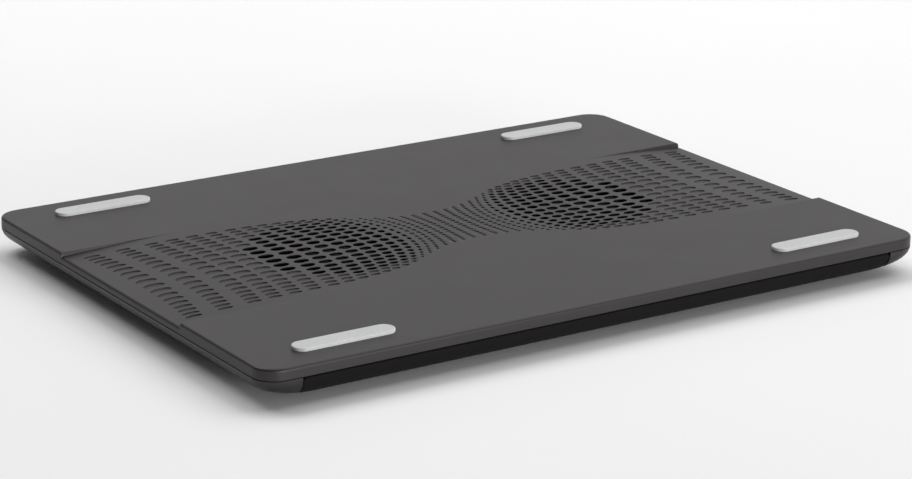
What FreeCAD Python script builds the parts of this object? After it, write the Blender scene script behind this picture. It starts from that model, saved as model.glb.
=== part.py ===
import FreeCAD, Part
import math
import os
import Sketcher
from FreeCAD import Placement, Rotation, Vector

# Laptop cooling pad: a slim tray with a ventilated deck and two 80 mm fans inside.
# Millimetres, +Z up. The origin lies on the table under the middle of the pad,
# +X runs along the long edge and +Y from the front edge to the rear edge.

DIMENSIONS = [
    ("pad_width", 360.0, "overall width, left to right"),
    ("pad_depth", 264.0, "overall depth, front to rear"),
    ("corner_round", 11.4, "plan radius of the casing corners"),
    ("foot_height", 3.2, "rubber foot below the underside"),
    ("shell_height", 9.7, "bottom shell, underside to parting line"),
    ("lip_height", 5.6, "top cover, parting line to deck"),
    ("side_run", 19.0, "plan run of the underside curve at the short sides"),
    ("end_run", 9.5, "plan run of the underside curve at front and rear"),
    ("base_round", 15.5, "plan corner radius of the flat underside"),
    ("shell_wall", 1.8, "bottom shell wall and floor"),
    ("well_floor", 1.6, "bottom shell floor under the fans"),
    ("cover_wall", 2.4, "top cover lip thickness"),
    ("deck_thick", 2.0, "top cover deck thickness"),
    ("grille_thick", 1.0, "deck thickness over the fans"),
    ("edge_round", 1.3, "rounding of the deck edge"),
    ("band_half", 58.0, "half depth of the ventilated centre band"),
    ("band_fade", 113.0, "distance from the middle where the band starts to dip"),
    ("band_drop", 2.1, "dip of the band at the short sides"),
    ("cushion_half", 161.5, "half width of the lap cushion"),
    ("cushion_rear", 96.0, "rear edge of the lap cushion"),
    ("cushion_thick", 2.0, "thickness of the lap cushion"),
    ("cushion_gap", 0.3, "groove between lap cushion and cover lip"),
    ("strip_length", 50.4, "grip strip length"),
    ("strip_width", 10.2, "grip strip width"),
    ("strip_proud", 1.5, "grip strip above the deck"),
    ("strip_sunk", 0.5, "grip strip seat depth in the deck"),
    ("strip_edge", 0.5, "rounding of the grip strip's top edge"),
    ("strip_x", 130.4, "grip strip centre from the middle, X"),
    ("strip_y", 113.2, "grip strip centre from the middle, Y"),
    ("foot_radius", 9.0, "rubber foot radius"),
    ("foot_sunk", 0.6, "rubber foot seat depth"),
    ("foot_edge", 0.6, "chamfer of the rubber foot"),
    ("foot_window", 10.5, "radius of the cushion window round a foot"),
    ("foot_x", 140.0, "rubber foot centre, X"),
    ("foot_front_y", 100.0, "front foot centre, from the middle"),
    ("foot_rear_y", 111.0, "rear foot centre, from the middle"),
    ("fan_x", 67.7, "fan axis from the middle"),
    ("fan_side", 80.0, "fan frame side"),
    ("fan_height", 10.0, "fan frame height"),
    ("fan_round", 4.0, "fan frame corner radius"),
    ("fan_bore", 38.0, "fan frame bore radius"),
    ("fan_pitch", 35.75, "fan screw hole from the fan axis, X and Y"),
    ("fan_hole", 2.15, "fan screw hole radius"),
    ("ear_thick", 4.0, "fan frame ear thickness"),
    ("ear_inset", 9.0, "fan frame corner cut under each ear"),
    ("well_gap", 1.0, "gap between fan frame and well wall"),
    ("well_wall", 2.0, "well wall thickness"),
    ("well_round", 6.0, "well corner radius"),
    ("duct_gap", 0.1, "gap between duct ring and fan frame"),
    ("duct_radius", 39.0, "duct ring inner radius"),
    ("duct_wall", 1.2, "duct ring wall"),
    ("slot_first", 16.0, "inner radius of the first intake slot"),
    ("slot_width", 3.0, "intake slot width"),
    ("slot_rib", 1.8, "rib between intake slots"),
    ("slot_spoke", 3.0, "spoke across the intake slots"),
    ("open_radius", 42.2, "vents whose centre is inside this radius can go through"),
    ("vent_depth", 0.45, "depth of the blind vents"),
    ("vent_through", 0.5, "cut of the open vents below the deck"),
    ("vent_shorten", 0.2, "shortening of the vents towards the ends of a column"),
    ("vent_squat", 0.75, "vent width over row spacing"),
    ("row_pitch", 8.1, "row spacing beside the axis"),
    ("row_closing", 0.473, "loss of row spacing per row"),
    ("row_reach", 51.3, "half depth that the rows' sizes are given for"),
    ("disc_radius", 14.5, "fan motor disc radius"),
    ("disc_thick", 1.4, "fan motor disc and strut thickness"),
    ("strut_width", 3.2, "fan strut width"),
    ("strut_bite", 0.8, "how far the struts reach into the ring"),
    ("trough_width", 5.6, "width of the strut that carries the leads"),
    ("trough_inner", 2.6, "width of the lead trough in that strut"),
    ("trough_floor", 0.4, "floor of the lead trough"),
    ("tube_radius", 3.2, "bearing tube outer radius"),
    ("tube_top", 6.4, "bearing tube top above the fan's underside"),
    ("bearing_radius", 2.5, "sleeve bearing outer radius"),
    ("bearing_bore", 1.04, "sleeve bearing bore radius"),
    ("bearing_foot", 1.2, "sleeve bearing foot above the fan's underside"),
    ("pad_foot", 0.4, "thrust pad foot above the fan's underside"),
    ("pad_thick", 0.3, "thrust pad thickness"),
    ("shaft_radius", 1.0, "fan shaft radius"),
    ("shaft_foot", 0.75, "shaft foot above the fan's underside"),
    ("shaft_top", 8.8, "shaft top above the fan's underside"),
    ("hub_radius", 16.0, "impeller hub radius"),
    ("hub_wall", 1.2, "impeller hub wall"),
    ("hub_foot", 1.9, "hub skirt above the fan's underside"),
    ("hub_top", 9.4, "hub top above the fan's underside"),
    ("hub_round", 0.3, "rounding of the hub's top edge"),
    ("boss_radius", 2.3, "hub boss radius"),
    ("boss_foot", 7.0, "hub boss foot above the fan's underside"),
    ("tip_radius", 37.2, "blade tip radius"),
    ("blade_root", 9.0, "blade chord at the hub"),
    ("blade_tip", 14.5, "blade chord at the tip"),
    ("blade_thick", 1.2, "blade thickness"),
    ("blade_middle", 5.6, "blade middle above the fan's underside"),
    ("blade_camber", 0.08, "blade camber over its chord"),
    ("blade_pitch", 42.0, "blade pitch at the hub, in degrees"),
    ("blade_twist", 15.0, "loss of pitch from hub to tip, in degrees"),
    ("blade_sweep", 7.0, "sweep of the blade at the tip"),
    ("yoke_wall", 0.6, "steel rotor cup wall"),
    ("yoke_foot", 2.7, "rotor cup and magnet foot above the fan's underside"),
    ("magnet_wall", 1.6, "rotor magnet wall"),
    ("board_foot", 1.4, "fan board foot above the fan's underside"),
    ("board_thick", 0.8, "fan board thickness"),
    ("board_radius", 13.0, "fan board radius"),
    ("core_foot", 3.2, "stator core foot above the fan's underside"),
    ("core_thick", 2.4, "stator core thickness"),
    ("core_ring", 5.2, "stator core ring radius"),
    ("core_arm", 3.0, "stator arm width"),
    ("shoe_inner", 9.8, "pole shoe inner radius"),
    ("shoe_outer", 12.0, "pole shoe outer radius"),
    ("arm_set", 0.5, "stator arm end inside the pole shoe's outer radius"),
    ("shoe_width", 13.0, "pole shoe width"),
    ("coil_start", 5.8, "coil start from the fan axis"),
    ("coil_end", 9.4, "coil end from the fan axis"),
    ("coil_width", 5.4, "coil width"),
    ("coil_margin", 0.8, "coil above and below the core"),
    ("screw_shank", 1.3, "screw shank radius"),
    ("screw_head", 2.6, "screw head radius"),
    ("screw_head_thick", 1.5, "screw head thickness"),
    ("screw_slot", 0.7, "cross recess width"),
    ("screw_slot_deep", 0.8, "cross recess depth"),
    ("screw_slot_reach", 1.3, "cross recess length over the head radius"),
    ("case_screw_length", 8.0, "casing screw shank length"),
    ("case_screw_clear", 1.6, "casing screw clearance hole radius"),
    ("case_boss", 4.2, "casing boss radius"),
    ("boss_bite", 1.0, "how far the cover's bosses reach into the deck"),
    ("boss_sink", 0.5, "boss foot above the underside, inside the floor"),
    ("case_sink", 4.5, "casing screw recess from the underside"),
    ("case_sink_radius", 3.0, "casing screw recess radius"),
    ("case_side_x", 166.5, "casing screws at the short sides, X"),
    ("case_side_y", 100.0, "casing screws at the short sides, Y"),
    ("case_rear_x", 60.0, "casing screws at the rear, X"),
    ("case_rear_y", 117.0, "casing screws at the rear, Y"),
    ("fan_screw_length", 8.4, "fan screw shank length"),
    ("fan_boss", 3.0, "fan screw boss radius"),
    ("inlet_x", 100.0, "power inlet centre, X"),
    ("inlet_width", 7.7, "power inlet width"),
    ("inlet_height", 3.4, "power inlet height"),
    ("inlet_length", 9.2, "power inlet length"),
    ("inlet_sheet", 0.3, "power inlet sheet thickness"),
    ("inlet_chamfer", 1.1, "power inlet lower corner cut"),
    ("inlet_set", 0.2, "power inlet behind the rear face"),
    ("inlet_play", 0.2, "gap round the power inlet"),
    ("tongue_width", 5.0, "inlet tongue width"),
    ("tongue_thick", 0.9, "inlet tongue thickness"),
    ("tongue_length", 6.2, "inlet tongue length"),
    ("tongue_lift", 1.9, "inlet tongue above the inlet's foot"),
    ("contact_width", 0.4, "inlet contact width"),
    ("contact_pitch", 0.8, "inlet contact pitch"),
    ("contact_thick", 0.15, "inlet contact thickness"),
    ("contact_set", 1.0, "inlet contact behind the tongue's tip"),
    ("panel_width", 44.0, "control board width"),
    ("panel_depth", 24.0, "control board depth"),
    ("panel_thick", 1.0, "control board thickness"),
    ("panel_rear", 129.5, "control board rear edge"),
    ("post_radius", 2.6, "control board post radius"),
    ("post_inset_x", 3.2, "control board post from the board's side"),
    ("post_inset_y", 7.0, "control board post from the board's rear or front edge"),
    ("panel_screw_shank", 0.9, "control board screw shank radius"),
    ("panel_screw_head", 1.8, "control board screw head radius"),
    ("panel_screw_length", 5.0, "control board screw shank length"),
    ("header_x", 8.0, "lead header from the board's middle, X"),
    ("header_width", 7.0, "lead header width"),
    ("header_depth", 6.0, "lead header depth"),
    ("header_height", 3.4, "lead header height"),
    ("header_wall", 0.6, "lead header wall"),
    ("plug_play", 0.1, "gap between lead plug and header"),
    ("plug_length", 6.5, "lead plug length"),
    ("lead_radius", 0.5, "fan lead radius"),
    ("lead_pitch", 1.2, "distance between the two leads of a fan"),
    ("lead_play", 0.3, "gap beside the leads in the slot of the well wall"),
    ("lead_slot", 5.0, "length of the slot behind the well"),
    ("lead_sink", 1.1, "floor of that slot above the fan's underside"),
    ("lead_start", 11.0, "lead start from the fan axis"),
    ("lead_bed", 0.15, "leads above the floor"),
    ("lead_climb", 3.0, "start of the leads' climb, inside the well wall"),
    ("lead_over", 3.5, "end of the leads' climb, behind the well wall's face"),
    ("lead_run_in", 7.0, "run of a lead straight into its plug"),
    ("tube_ease", 0.45, "share of a straight run that each bend takes"),
]

HULL_STEPS = 6
CASE_SCREW_ROWS = (-1, 0, 1)
SIDES = {"left": -1, "right": 1}
ENDS = {"front": -1, "rear": 1}
QUARTERS = (0, 90, 180, 270)
BLADE_COUNT = 9
INTAKE_RINGS = 5
INTAKE_SPOKES = 6
# Columns of vents from the middle of the deck outwards: where each crosses the band's axis, how far its
# ends lie outwards from there, its half depth, and the length of its vents.
VENT_COLUMNS = (
    (2.7, 0.4, 21.9, 2.7), (7.9, 1.3, 22.3, 2.6), (12.7, 2.2, 23.3, 2.5), (17.2, 3.5, 24.9, 2.3),
    (21.3, 5.8, 27.4, 2.2), (25.1, 8.3, 30.8, 2.0), (29.7, 10.2, 34.4, 2.0), (35.1, 11.6, 38.0, 3.5),
    (41.3, 11.8, 40.5, 4.8), (48.3, 11.1, 42.2, 5.7), (55.4, 10.1, 43.7, 6.3), (63.2, 8.8, 44.9, 6.7),
    (71.9, 7.4, 46.0, 7.1), (81.2, 6.1, 46.9, 7.5), (90.9, 5.0, 47.5, 7.9), (101.7, 4.4, 47.8, 8.3),
    (112.0, 4.2, 47.9, 8.8), (122.4, 4.3, 48.1, 9.0), (133.2, 4.3, 48.4, 9.2), (148.0, 4.3, 48.7, 9.6),
    (164.0, 4.3, 49.0, 10.6))
VENT_ROWS = 9
OPEN_ROWS = 7
BLADE_STATIONS = (0, 0.5, 1.15)
CONTACTS = (-2, -1, 0, 1, 2)
CUT_MARGIN = 5.0

# Parts on the control board: x and y from the middle of its front edge, then length, width, height.
CHIPS = (
    (-15.0, 8.0, 5.0, 4.0, 1.6),
    (14.0, 9.0, 3.2, 1.6, 0.8),
    (14.0, 12.0, 3.2, 1.6, 0.8),
    (-15.0, 14.5, 3.2, 2.6, 2.2),
)

# Turning points of each fan's leads on the way to the board: x, y and height above the floor.
LEAD_WAYS = {
    "left": ((-52, 62, 0), (-18, 72, 0), (22, 76, 0), (60, 79, 0), (84, 84, 1)),
    "right": ((72, 58, 0), (86, 68, 0), (101, 76, 0), (107, 86, 1)),
}

DOC = FreeCAD.newDocument("cooling_pad")
SHEET = DOC.addObject("Spreadsheet::Sheet", "dims")
NODES = {}


# ---------------------------------------------------------------- helpers

def fill_sheet():
    """One row per driving dimension: its meaning, its value and the value's alias."""
    for row, (alias, size, meaning) in enumerate(DIMENSIONS, start=1):
        SHEET.set(f"A{row}", meaning)
        SHEET.set(f"B{row}", str(size))
        SHEET.setAlias(f"B{row}", alias)
    DOC.recompute()


def value(expression):
    """The present value of an expression over the sheet."""
    return float(SHEET.evalExpression(str(expression)))


def bind(item, **expressions):
    for name, expression in expressions.items():
        item.setExpression(name, str(expression))
    return item


def put(item, x=0, y=0, z=0):
    """Bind the place of an object to the sheet."""
    for letter, expression in zip("xyz", (x, y, z)):
        item.setExpression(f"Placement.Base.{letter}", str(expression))
    return item


def node(name, item):
    """Name an object as a sub-part of the pad."""
    item.Label = name
    NODES[name] = item
    return item


def box(name, sizes, corner):
    item = DOC.addObject("Part::Box", name)
    bind(item, Length=sizes[0], Width=sizes[1], Height=sizes[2])
    return put(item, *corner)


def bar(name, length, width, height, level, turn=0):
    """A box with its middle on the vertical axis, turned about that axis."""
    item = box(name, (length, width, height), ("0", "0", "0"))
    item.Placement.Rotation = Rotation(Vector(0, 0, 1), turn)
    cosine, sine = math.cos(math.radians(turn)), math.sin(math.radians(turn))
    x = f"({width}) / 2 * {sine:.6f} - ({length}) / 2 * {cosine:.6f}"
    y = f"0 - ({width}) / 2 * {cosine:.6f} - ({length}) / 2 * {sine:.6f}"
    return put(item, x, y, level)


def cylinder(name, radius, height, foot):
    item = DOC.addObject("Part::Cylinder", name)
    bind(item, Radius=radius, Height=height)
    return put(item, *foot)


def cut(name, base, *tools):
    """The base less its tools, taken away one after another."""
    for index, tool in enumerate(tools, start=1):
        is_last = index == len(tools)
        item = DOC.addObject("Part::Cut", name if is_last else f"{name}_{index}")
        item.Base = base
        item.Tool = tool
        base = item
    return base


def fuse(name, *shapes):
    item = DOC.addObject("Part::MultiFuse", name)
    item.Shapes = list(shapes)
    return item


def common(name, base, tool):
    item = DOC.addObject("Part::Common", name)
    item.Base = base
    item.Tool = tool
    return item


def feature(name, shape):
    """A solid or group of solids whose shape is worked out in code from the sheet."""
    item = DOC.addObject("Part::Feature", name)
    item.Shape = shape
    return item


def group_of(name, master, places):
    """Copies of one solid, as one group of separate solids."""
    DOC.recompute()
    solids = [master.Shape.transformed(place.toMatrix()) for place in places]
    return feature(name, Part.makeCompound(solids))


def sketch_on(body, name, role, level="0"):
    """A sketch on one of the body's own origin planes, lifted off it by level."""
    sketch = body.newObject("Sketcher::SketchObject", name)
    plane = next(item for item in body.Origin.OriginFeatures if item.Role == role)
    sketch.AttachmentSupport = [(plane, "")]
    sketch.MapMode = "FlatFace"
    sketch.setExpression("AttachmentOffset.Base.z", str(level))
    return sketch


def dimension(sketch, kind, *where, expression):
    """A driving constraint bound to the sheet."""
    index = sketch.addConstraint(Sketcher.Constraint(kind, *where, value(expression)))
    sketch.setExpression(f"Constraints[{index}]", str(expression))


def rounded_rectangle(body, name, level, half_x, half_y, radius, centre=("0", "0")):
    """A rectangle with round corners, placed by its middle."""
    sketch = sketch_on(body, name, "XY_Plane", level)
    dx, dy, r = value(half_x), value(half_y), value(radius)
    mx, my = value(centre[0]), value(centre[1])
    corners = [(1, -1), (1, 1), (-1, 1), (-1, -1)]
    for index, (sx, sy) in enumerate(corners):
        nx, ny = corners[(index + 1) % 4]
        along_y = sx == nx
        start = Vector(mx + sx * (dx if along_y else dx - r), my + sy * (dy - r if along_y else dy))
        end = Vector(mx + nx * (dx if along_y else dx - r), my + ny * (dy - r if along_y else dy))
        sketch.addGeometry(Part.LineSegment(start, end))
    for index, (sx, sy) in enumerate(corners[1:] + corners[:1]):
        middle = Vector(mx + sx * (dx - r), my + sy * (dy - r))
        first = index * math.pi / 2
        circle = Part.Circle(middle, Vector(0, 0, 1), r)
        sketch.addGeometry(Part.ArcOfCircle(circle, first, first + math.pi / 2))
    for line in range(4):
        arc = 4 + line
        sketch.addConstraint(Sketcher.Constraint("Tangent", line, 2, arc, 1))
        sketch.addConstraint(Sketcher.Constraint("Tangent", arc, 2, (line + 1) % 4, 1))
        sketch.addConstraint(Sketcher.Constraint("Vertical" if line % 2 == 0 else "Horizontal", line))
    for arc in (5, 6, 7):
        sketch.addConstraint(Sketcher.Constraint("Equal", 4, arc))
    dimension(sketch, "Radius", 4, expression=radius)
    dimension(sketch, "DistanceX", 0, 1, expression=f"{centre[0]} + {half_x}")
    dimension(sketch, "DistanceX", 2, 1, expression=f"{centre[0]} - ({half_x})")
    dimension(sketch, "DistanceY", 1, 1, expression=f"{centre[1]} + {half_y}")
    dimension(sketch, "DistanceY", 3, 1, expression=f"{centre[1]} - ({half_y})")
    return sketch


def stadium(body, name, level, length, width):
    """A slot outline: two straight sides joined by half circles."""
    sketch = sketch_on(body, name, "XY_Plane", level)
    r = value(width) / 2
    run = value(length) / 2 - r
    up = Vector(0, 0, 1)
    sketch.addGeometry(Part.LineSegment(Vector(-run, -r), Vector(run, -r)))
    sketch.addGeometry(Part.ArcOfCircle(Part.Circle(Vector(run, 0), up, r), -math.pi / 2, math.pi / 2))
    sketch.addGeometry(Part.LineSegment(Vector(run, r), Vector(-run, r)))
    sketch.addGeometry(Part.ArcOfCircle(Part.Circle(Vector(-run, 0), up, r), math.pi / 2, 3 * math.pi / 2))
    for index in range(4):
        sketch.addConstraint(Sketcher.Constraint("Tangent", index, 2, (index + 1) % 4, 1))
    sketch.addConstraint(Sketcher.Constraint("Horizontal", 0))
    sketch.addConstraint(Sketcher.Constraint("Equal", 1, 3))
    dimension(sketch, "Radius", 1, expression=f"{width} / 2")
    dimension(sketch, "DistanceX", 1, 3, expression=f"({length} - {width}) / 2")
    dimension(sketch, "DistanceX", 3, 3, expression=f"({width} - {length}) / 2")
    dimension(sketch, "DistanceY", 1, 3, expression="0")
    return sketch


def pad(body, name, sketch, length):
    item = body.newObject("PartDesign::Pad", name)
    item.Profile = sketch
    bind(item, Length=length)
    return item


def slab(name, level, height, half_x, half_y, radius, centre=("0", "0")):
    """A body that is one rounded rectangle, padded upwards."""
    body = DOC.addObject("PartDesign::Body", name)
    outline = rounded_rectangle(body, f"{name}_outline", level, half_x, half_y, radius, centre)
    pad(body, f"{name}_pad", outline, height)
    return body


def edges_at(shape, height):
    """Names of the edges that lie wholly at one height."""
    found = []
    for index, edge in enumerate(shape.Edges, start=1):
        limits = edge.BoundBox
        if abs(limits.ZMin - height) < 1e-4 and abs(limits.ZMax - height) < 1e-4:
            found.append(f"Edge{index}")
    return found


def round_edges(body, name, base, height, radius):
    """Round the edges of a body's feature that lie at one height."""
    DOC.recompute()
    item = body.newObject("PartDesign::Fillet", name)
    item.Base = (base, edges_at(base.Shape, height))
    bind(item, Radius=radius)
    return item


# ---------------------------------------------------------------- levels

UNDERSIDE = "dims.foot_height"
PARTING = "(dims.foot_height + dims.shell_height)"
DECK = "(dims.foot_height + dims.shell_height + dims.lip_height)"
CEILING = f"({DECK} - dims.deck_thick)"
FAN_FOOT = "(dims.foot_height + dims.well_floor)"
FAN_TOP = f"({FAN_FOOT} + dims.fan_height)"
WELL_HALF = "(dims.fan_side / 2 + dims.well_gap)"
BAND_RADIUS = ("(((dims.pad_width / 2 - dims.band_fade) ^ 2 + dims.band_drop ^ 2)"
               " / (2 * dims.band_drop))")


def band_surface(x):
    """Height and slope (radians) of the centre band's top at a distance from the middle."""
    radius = value(BAND_RADIUS)
    past = max(0.0, abs(x) - value("dims.band_fade"))
    height = value(DECK) - radius + math.sqrt(radius ** 2 - past ** 2)
    return height, math.copysign(math.asin(past / radius), x)


# ---------------------------------------------------------------- casing

def hull(name, offset):
    """The rounded underside form, drawn inwards by offset: a loft down a quarter ellipse."""
    body = DOC.addObject("PartDesign::Body", name)
    sections = []
    for step in range(HULL_STEPS + 1):
        turn = math.radians(90 * step / HULL_STEPS)
        sunk = f"{math.sin(turn):.6f}"
        drawn_in = f"{1 - math.cos(turn):.6f}"
        level = f"{PARTING} - (dims.shell_height - {offset}) * {sunk}"
        half_x = f"(dims.pad_width / 2 - {offset} - (dims.side_run - {offset}) * {drawn_in})"
        half_y = f"(dims.pad_depth / 2 - {offset} - (dims.end_run - {offset}) * {drawn_in})"
        top_round = f"(dims.corner_round - {offset})"
        radius = f"({top_round} + (dims.base_round - {top_round}) * {drawn_in})"
        sections.append(rounded_rectangle(body, f"{name}_{step}", level, half_x, half_y, radius))
    loft = body.newObject("PartDesign::AdditiveLoft", f"{name}_loft")
    loft.Profile = sections[0]
    loft.Sections = sections[1:]
    return body


def foot_centres():
    return {
        ("front", "left"): ("-dims.foot_x", "-dims.foot_front_y"),
        ("front", "right"): ("dims.foot_x", "-dims.foot_front_y"),
        ("rear", "left"): ("-dims.foot_x", "dims.foot_rear_y"),
        ("rear", "right"): ("dims.foot_x", "dims.foot_rear_y"),
    }


def cushion_zone(name, grow, top):
    """The block of space over the underside that the lap cushion covers, grown sideways."""
    return box(
        name,
        (f"2 * (dims.cushion_half + {grow})",
         f"dims.pad_depth / 2 + dims.cushion_rear + {grow} + {CUT_MARGIN}",
         f"{top} + {CUT_MARGIN}"),
        (f"-(dims.cushion_half + {grow})", f"-dims.pad_depth / 2 - {CUT_MARGIN}", f"-{CUT_MARGIN}"))


def cushion_windows(name):
    """Islands of bare shell inside the cushion: one round each fan well and front foot."""
    islands = []
    height = f"{PARTING}"
    half = f"({WELL_HALF} + dims.well_wall)"
    radius = "(dims.well_round + dims.well_wall)"
    for side, sign in SIDES.items():
        centre = (f"{sign} * dims.fan_x", "0")
        islands.append(slab(f"{name}_well_{side}", "0", height, half, half, radius, centre))
        foot = foot_centres()[("front", side)]
        islands.append(cylinder(f"{name}_foot_{side}", "dims.foot_window", height, (*foot, "0")))
    return fuse(name, *islands)


def lap_cushion(name, outer, top):
    """The cushion's form: the skin of the underside within its zone, less the windows."""
    zone = common(f"{name}_zone", outer, cushion_zone(f"{name}_block", "0", top))
    skin = cut(f"{name}_skin", zone, hull(f"{name}_inside", "dims.cushion_thick"))
    return cut(f"{name}_form", skin, cushion_windows(f"{name}_windows"))


def case_screw_places():
    """Casing screws: three along each short side and two along the rear."""
    x, y = value("dims.case_side_x"), value("dims.case_side_y")
    places = [(sign * x, row * y) for sign in SIDES.values() for row in CASE_SCREW_ROWS]
    places += [(sign * value("dims.case_rear_x"), value("dims.case_rear_y")) for sign in SIDES.values()]
    return places


def fan_screw_places():
    pitch = value("dims.fan_pitch")
    corners = [(sx, sy) for sx in (-1, 1) for sy in (-1, 1)]
    return {side: [(sign * value("dims.fan_x") + sx * pitch, sy * pitch) for sx, sy in corners]
            for side, sign in SIDES.items()}


def panel_post_places():
    """Posts under the four corners of the control board."""
    dx = value("dims.panel_width / 2 - dims.post_inset_x")
    rear = value("dims.panel_rear - dims.post_inset_y")
    front = value("dims.panel_rear - dims.panel_depth + dims.post_inset_y")
    middle = value("dims.inlet_x")
    return [(middle + sign * dx, y) for sign in (-1, 1) for y in (front, rear)]


def posts(name, places, radius, foot, top):
    """Upright round posts, as one group."""
    height = value(top) - value(foot)
    solids = [Part.makeCylinder(value(radius), height, Vector(x, y, value(foot))) for x, y in places]
    return feature(name, Part.makeCompound(solids))


def intake_slots(name):
    """Rings of slots under each fan, broken by spokes."""
    foot = -CUT_MARGIN
    height = value(FAN_FOOT) + 2 * CUT_MARGIN
    pitch = value("dims.slot_width + dims.slot_rib")
    spoke = value("dims.slot_spoke")
    reach = value("dims.fan_side")
    spokes = []
    for index in range(INTAKE_SPOKES // 2):
        bar = Part.makeBox(2 * reach, spoke, height, Vector(-reach, -spoke / 2, foot))
        bar.rotate(Vector(), Vector(0, 0, 1), 180 * index / (INTAKE_SPOKES // 2))
        spokes.append(bar)
    rings = []
    for index in range(INTAKE_RINGS):
        inner = value("dims.slot_first") + index * pitch
        disc = Part.makeCylinder(inner + value("dims.slot_width"), height, Vector(0, 0, foot))
        rings.append(disc.cut(Part.makeCylinder(inner, height, Vector(0, 0, foot))))
    slots = Part.makeCompound(rings).cut(spokes)
    both = [slots.translated(Vector(sign * value("dims.fan_x"), 0, 0)) for sign in SIDES.values()]
    return feature(name, Part.makeCompound(both))


def bottom_shell():
    outer = hull("shell_outer", "0")
    bare = cut("shell_bare", outer, lap_cushion("cushion_space", outer, PARTING))
    deep = hull("shell_hollow", "(dims.cushion_thick + dims.well_floor)")
    margin_form = hull("shell_margin", "dims.shell_wall")
    margin = cut("shell_margin_hollow", margin_form, cushion_zone("shell_keep", "dims.shell_wall", PARTING))
    wells = [
        slab(f"shell_well_{side}", FAN_FOOT, PARTING, WELL_HALF, WELL_HALF, "dims.well_round",
             (f"{sign} * dims.fan_x", "0"))
        for side, sign in SIDES.items()]
    tray = cut("shell_tray", bare, deep, margin, *wells)

    fan_places = [place for places in fan_screw_places().values() for place in places]
    boss_foot = f"({UNDERSIDE} + dims.boss_sink)"
    fan_boss_top = f"({FAN_TOP} - dims.ear_thick)"
    bossed = fuse(
        "shell_bossed", tray,
        posts("shell_fan_bosses", fan_places, "dims.fan_boss", boss_foot, fan_boss_top),
        common("shell_case_bosses", outer, posts(
            "shell_case_posts", case_screw_places(), "dims.case_boss", boss_foot, PARTING)),
        posts("shell_panel_posts", panel_post_places(), "dims.post_radius", boss_foot,
              f"({PARTING} - dims.panel_thick)"))

    screw_foot = f"({FAN_TOP} - dims.fan_screw_length)"
    seat = f"({UNDERSIDE} + dims.case_sink)"
    panel_screw_foot = f"({PARTING} - dims.panel_screw_length)"
    drilled = cut(
        "shell_drilled", bossed,
        posts("shell_fan_pilots", fan_places, "dims.screw_shank", screw_foot, PARTING),
        posts("shell_case_holes", case_screw_places(), "dims.case_screw_clear", "0", DECK),
        posts("shell_case_sinks", case_screw_places(), "dims.case_sink_radius", "0", seat),
        posts("shell_panel_pilots", panel_post_places(), "dims.panel_screw_shank",
              panel_screw_foot, PARTING))

    seats = [
        cylinder(f"shell_foot_seat_{end}_{side}", "dims.foot_radius", f"{UNDERSIDE} + dims.foot_sunk",
                 (*centre, "0"))
        for (end, side), centre in foot_centres().items()]
    lead_slots = [
        box(f"shell_lead_slot_{side}",
            ("dims.trough_inner + 2 * dims.lead_play", "dims.lead_slot + dims.well_gap", PARTING),
            (f"{sign} * dims.fan_x - dims.trough_inner / 2 - dims.lead_play", f"{WELL_HALF} - dims.well_gap",
             f"{FAN_FOOT} + dims.lead_sink"))
        for side, sign in SIDES.items()]
    slotted = cut("shell_slotted", drilled, intake_slots("shell_intake"), *lead_slots)
    node("bottom_shell", cut("bottom_shell_form", slotted, *seats))
    node("lap_cushion", lap_cushion("cushion", outer, f"({PARTING} - dims.cushion_gap)"))


# ---------------------------------------------------------------- deck

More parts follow.
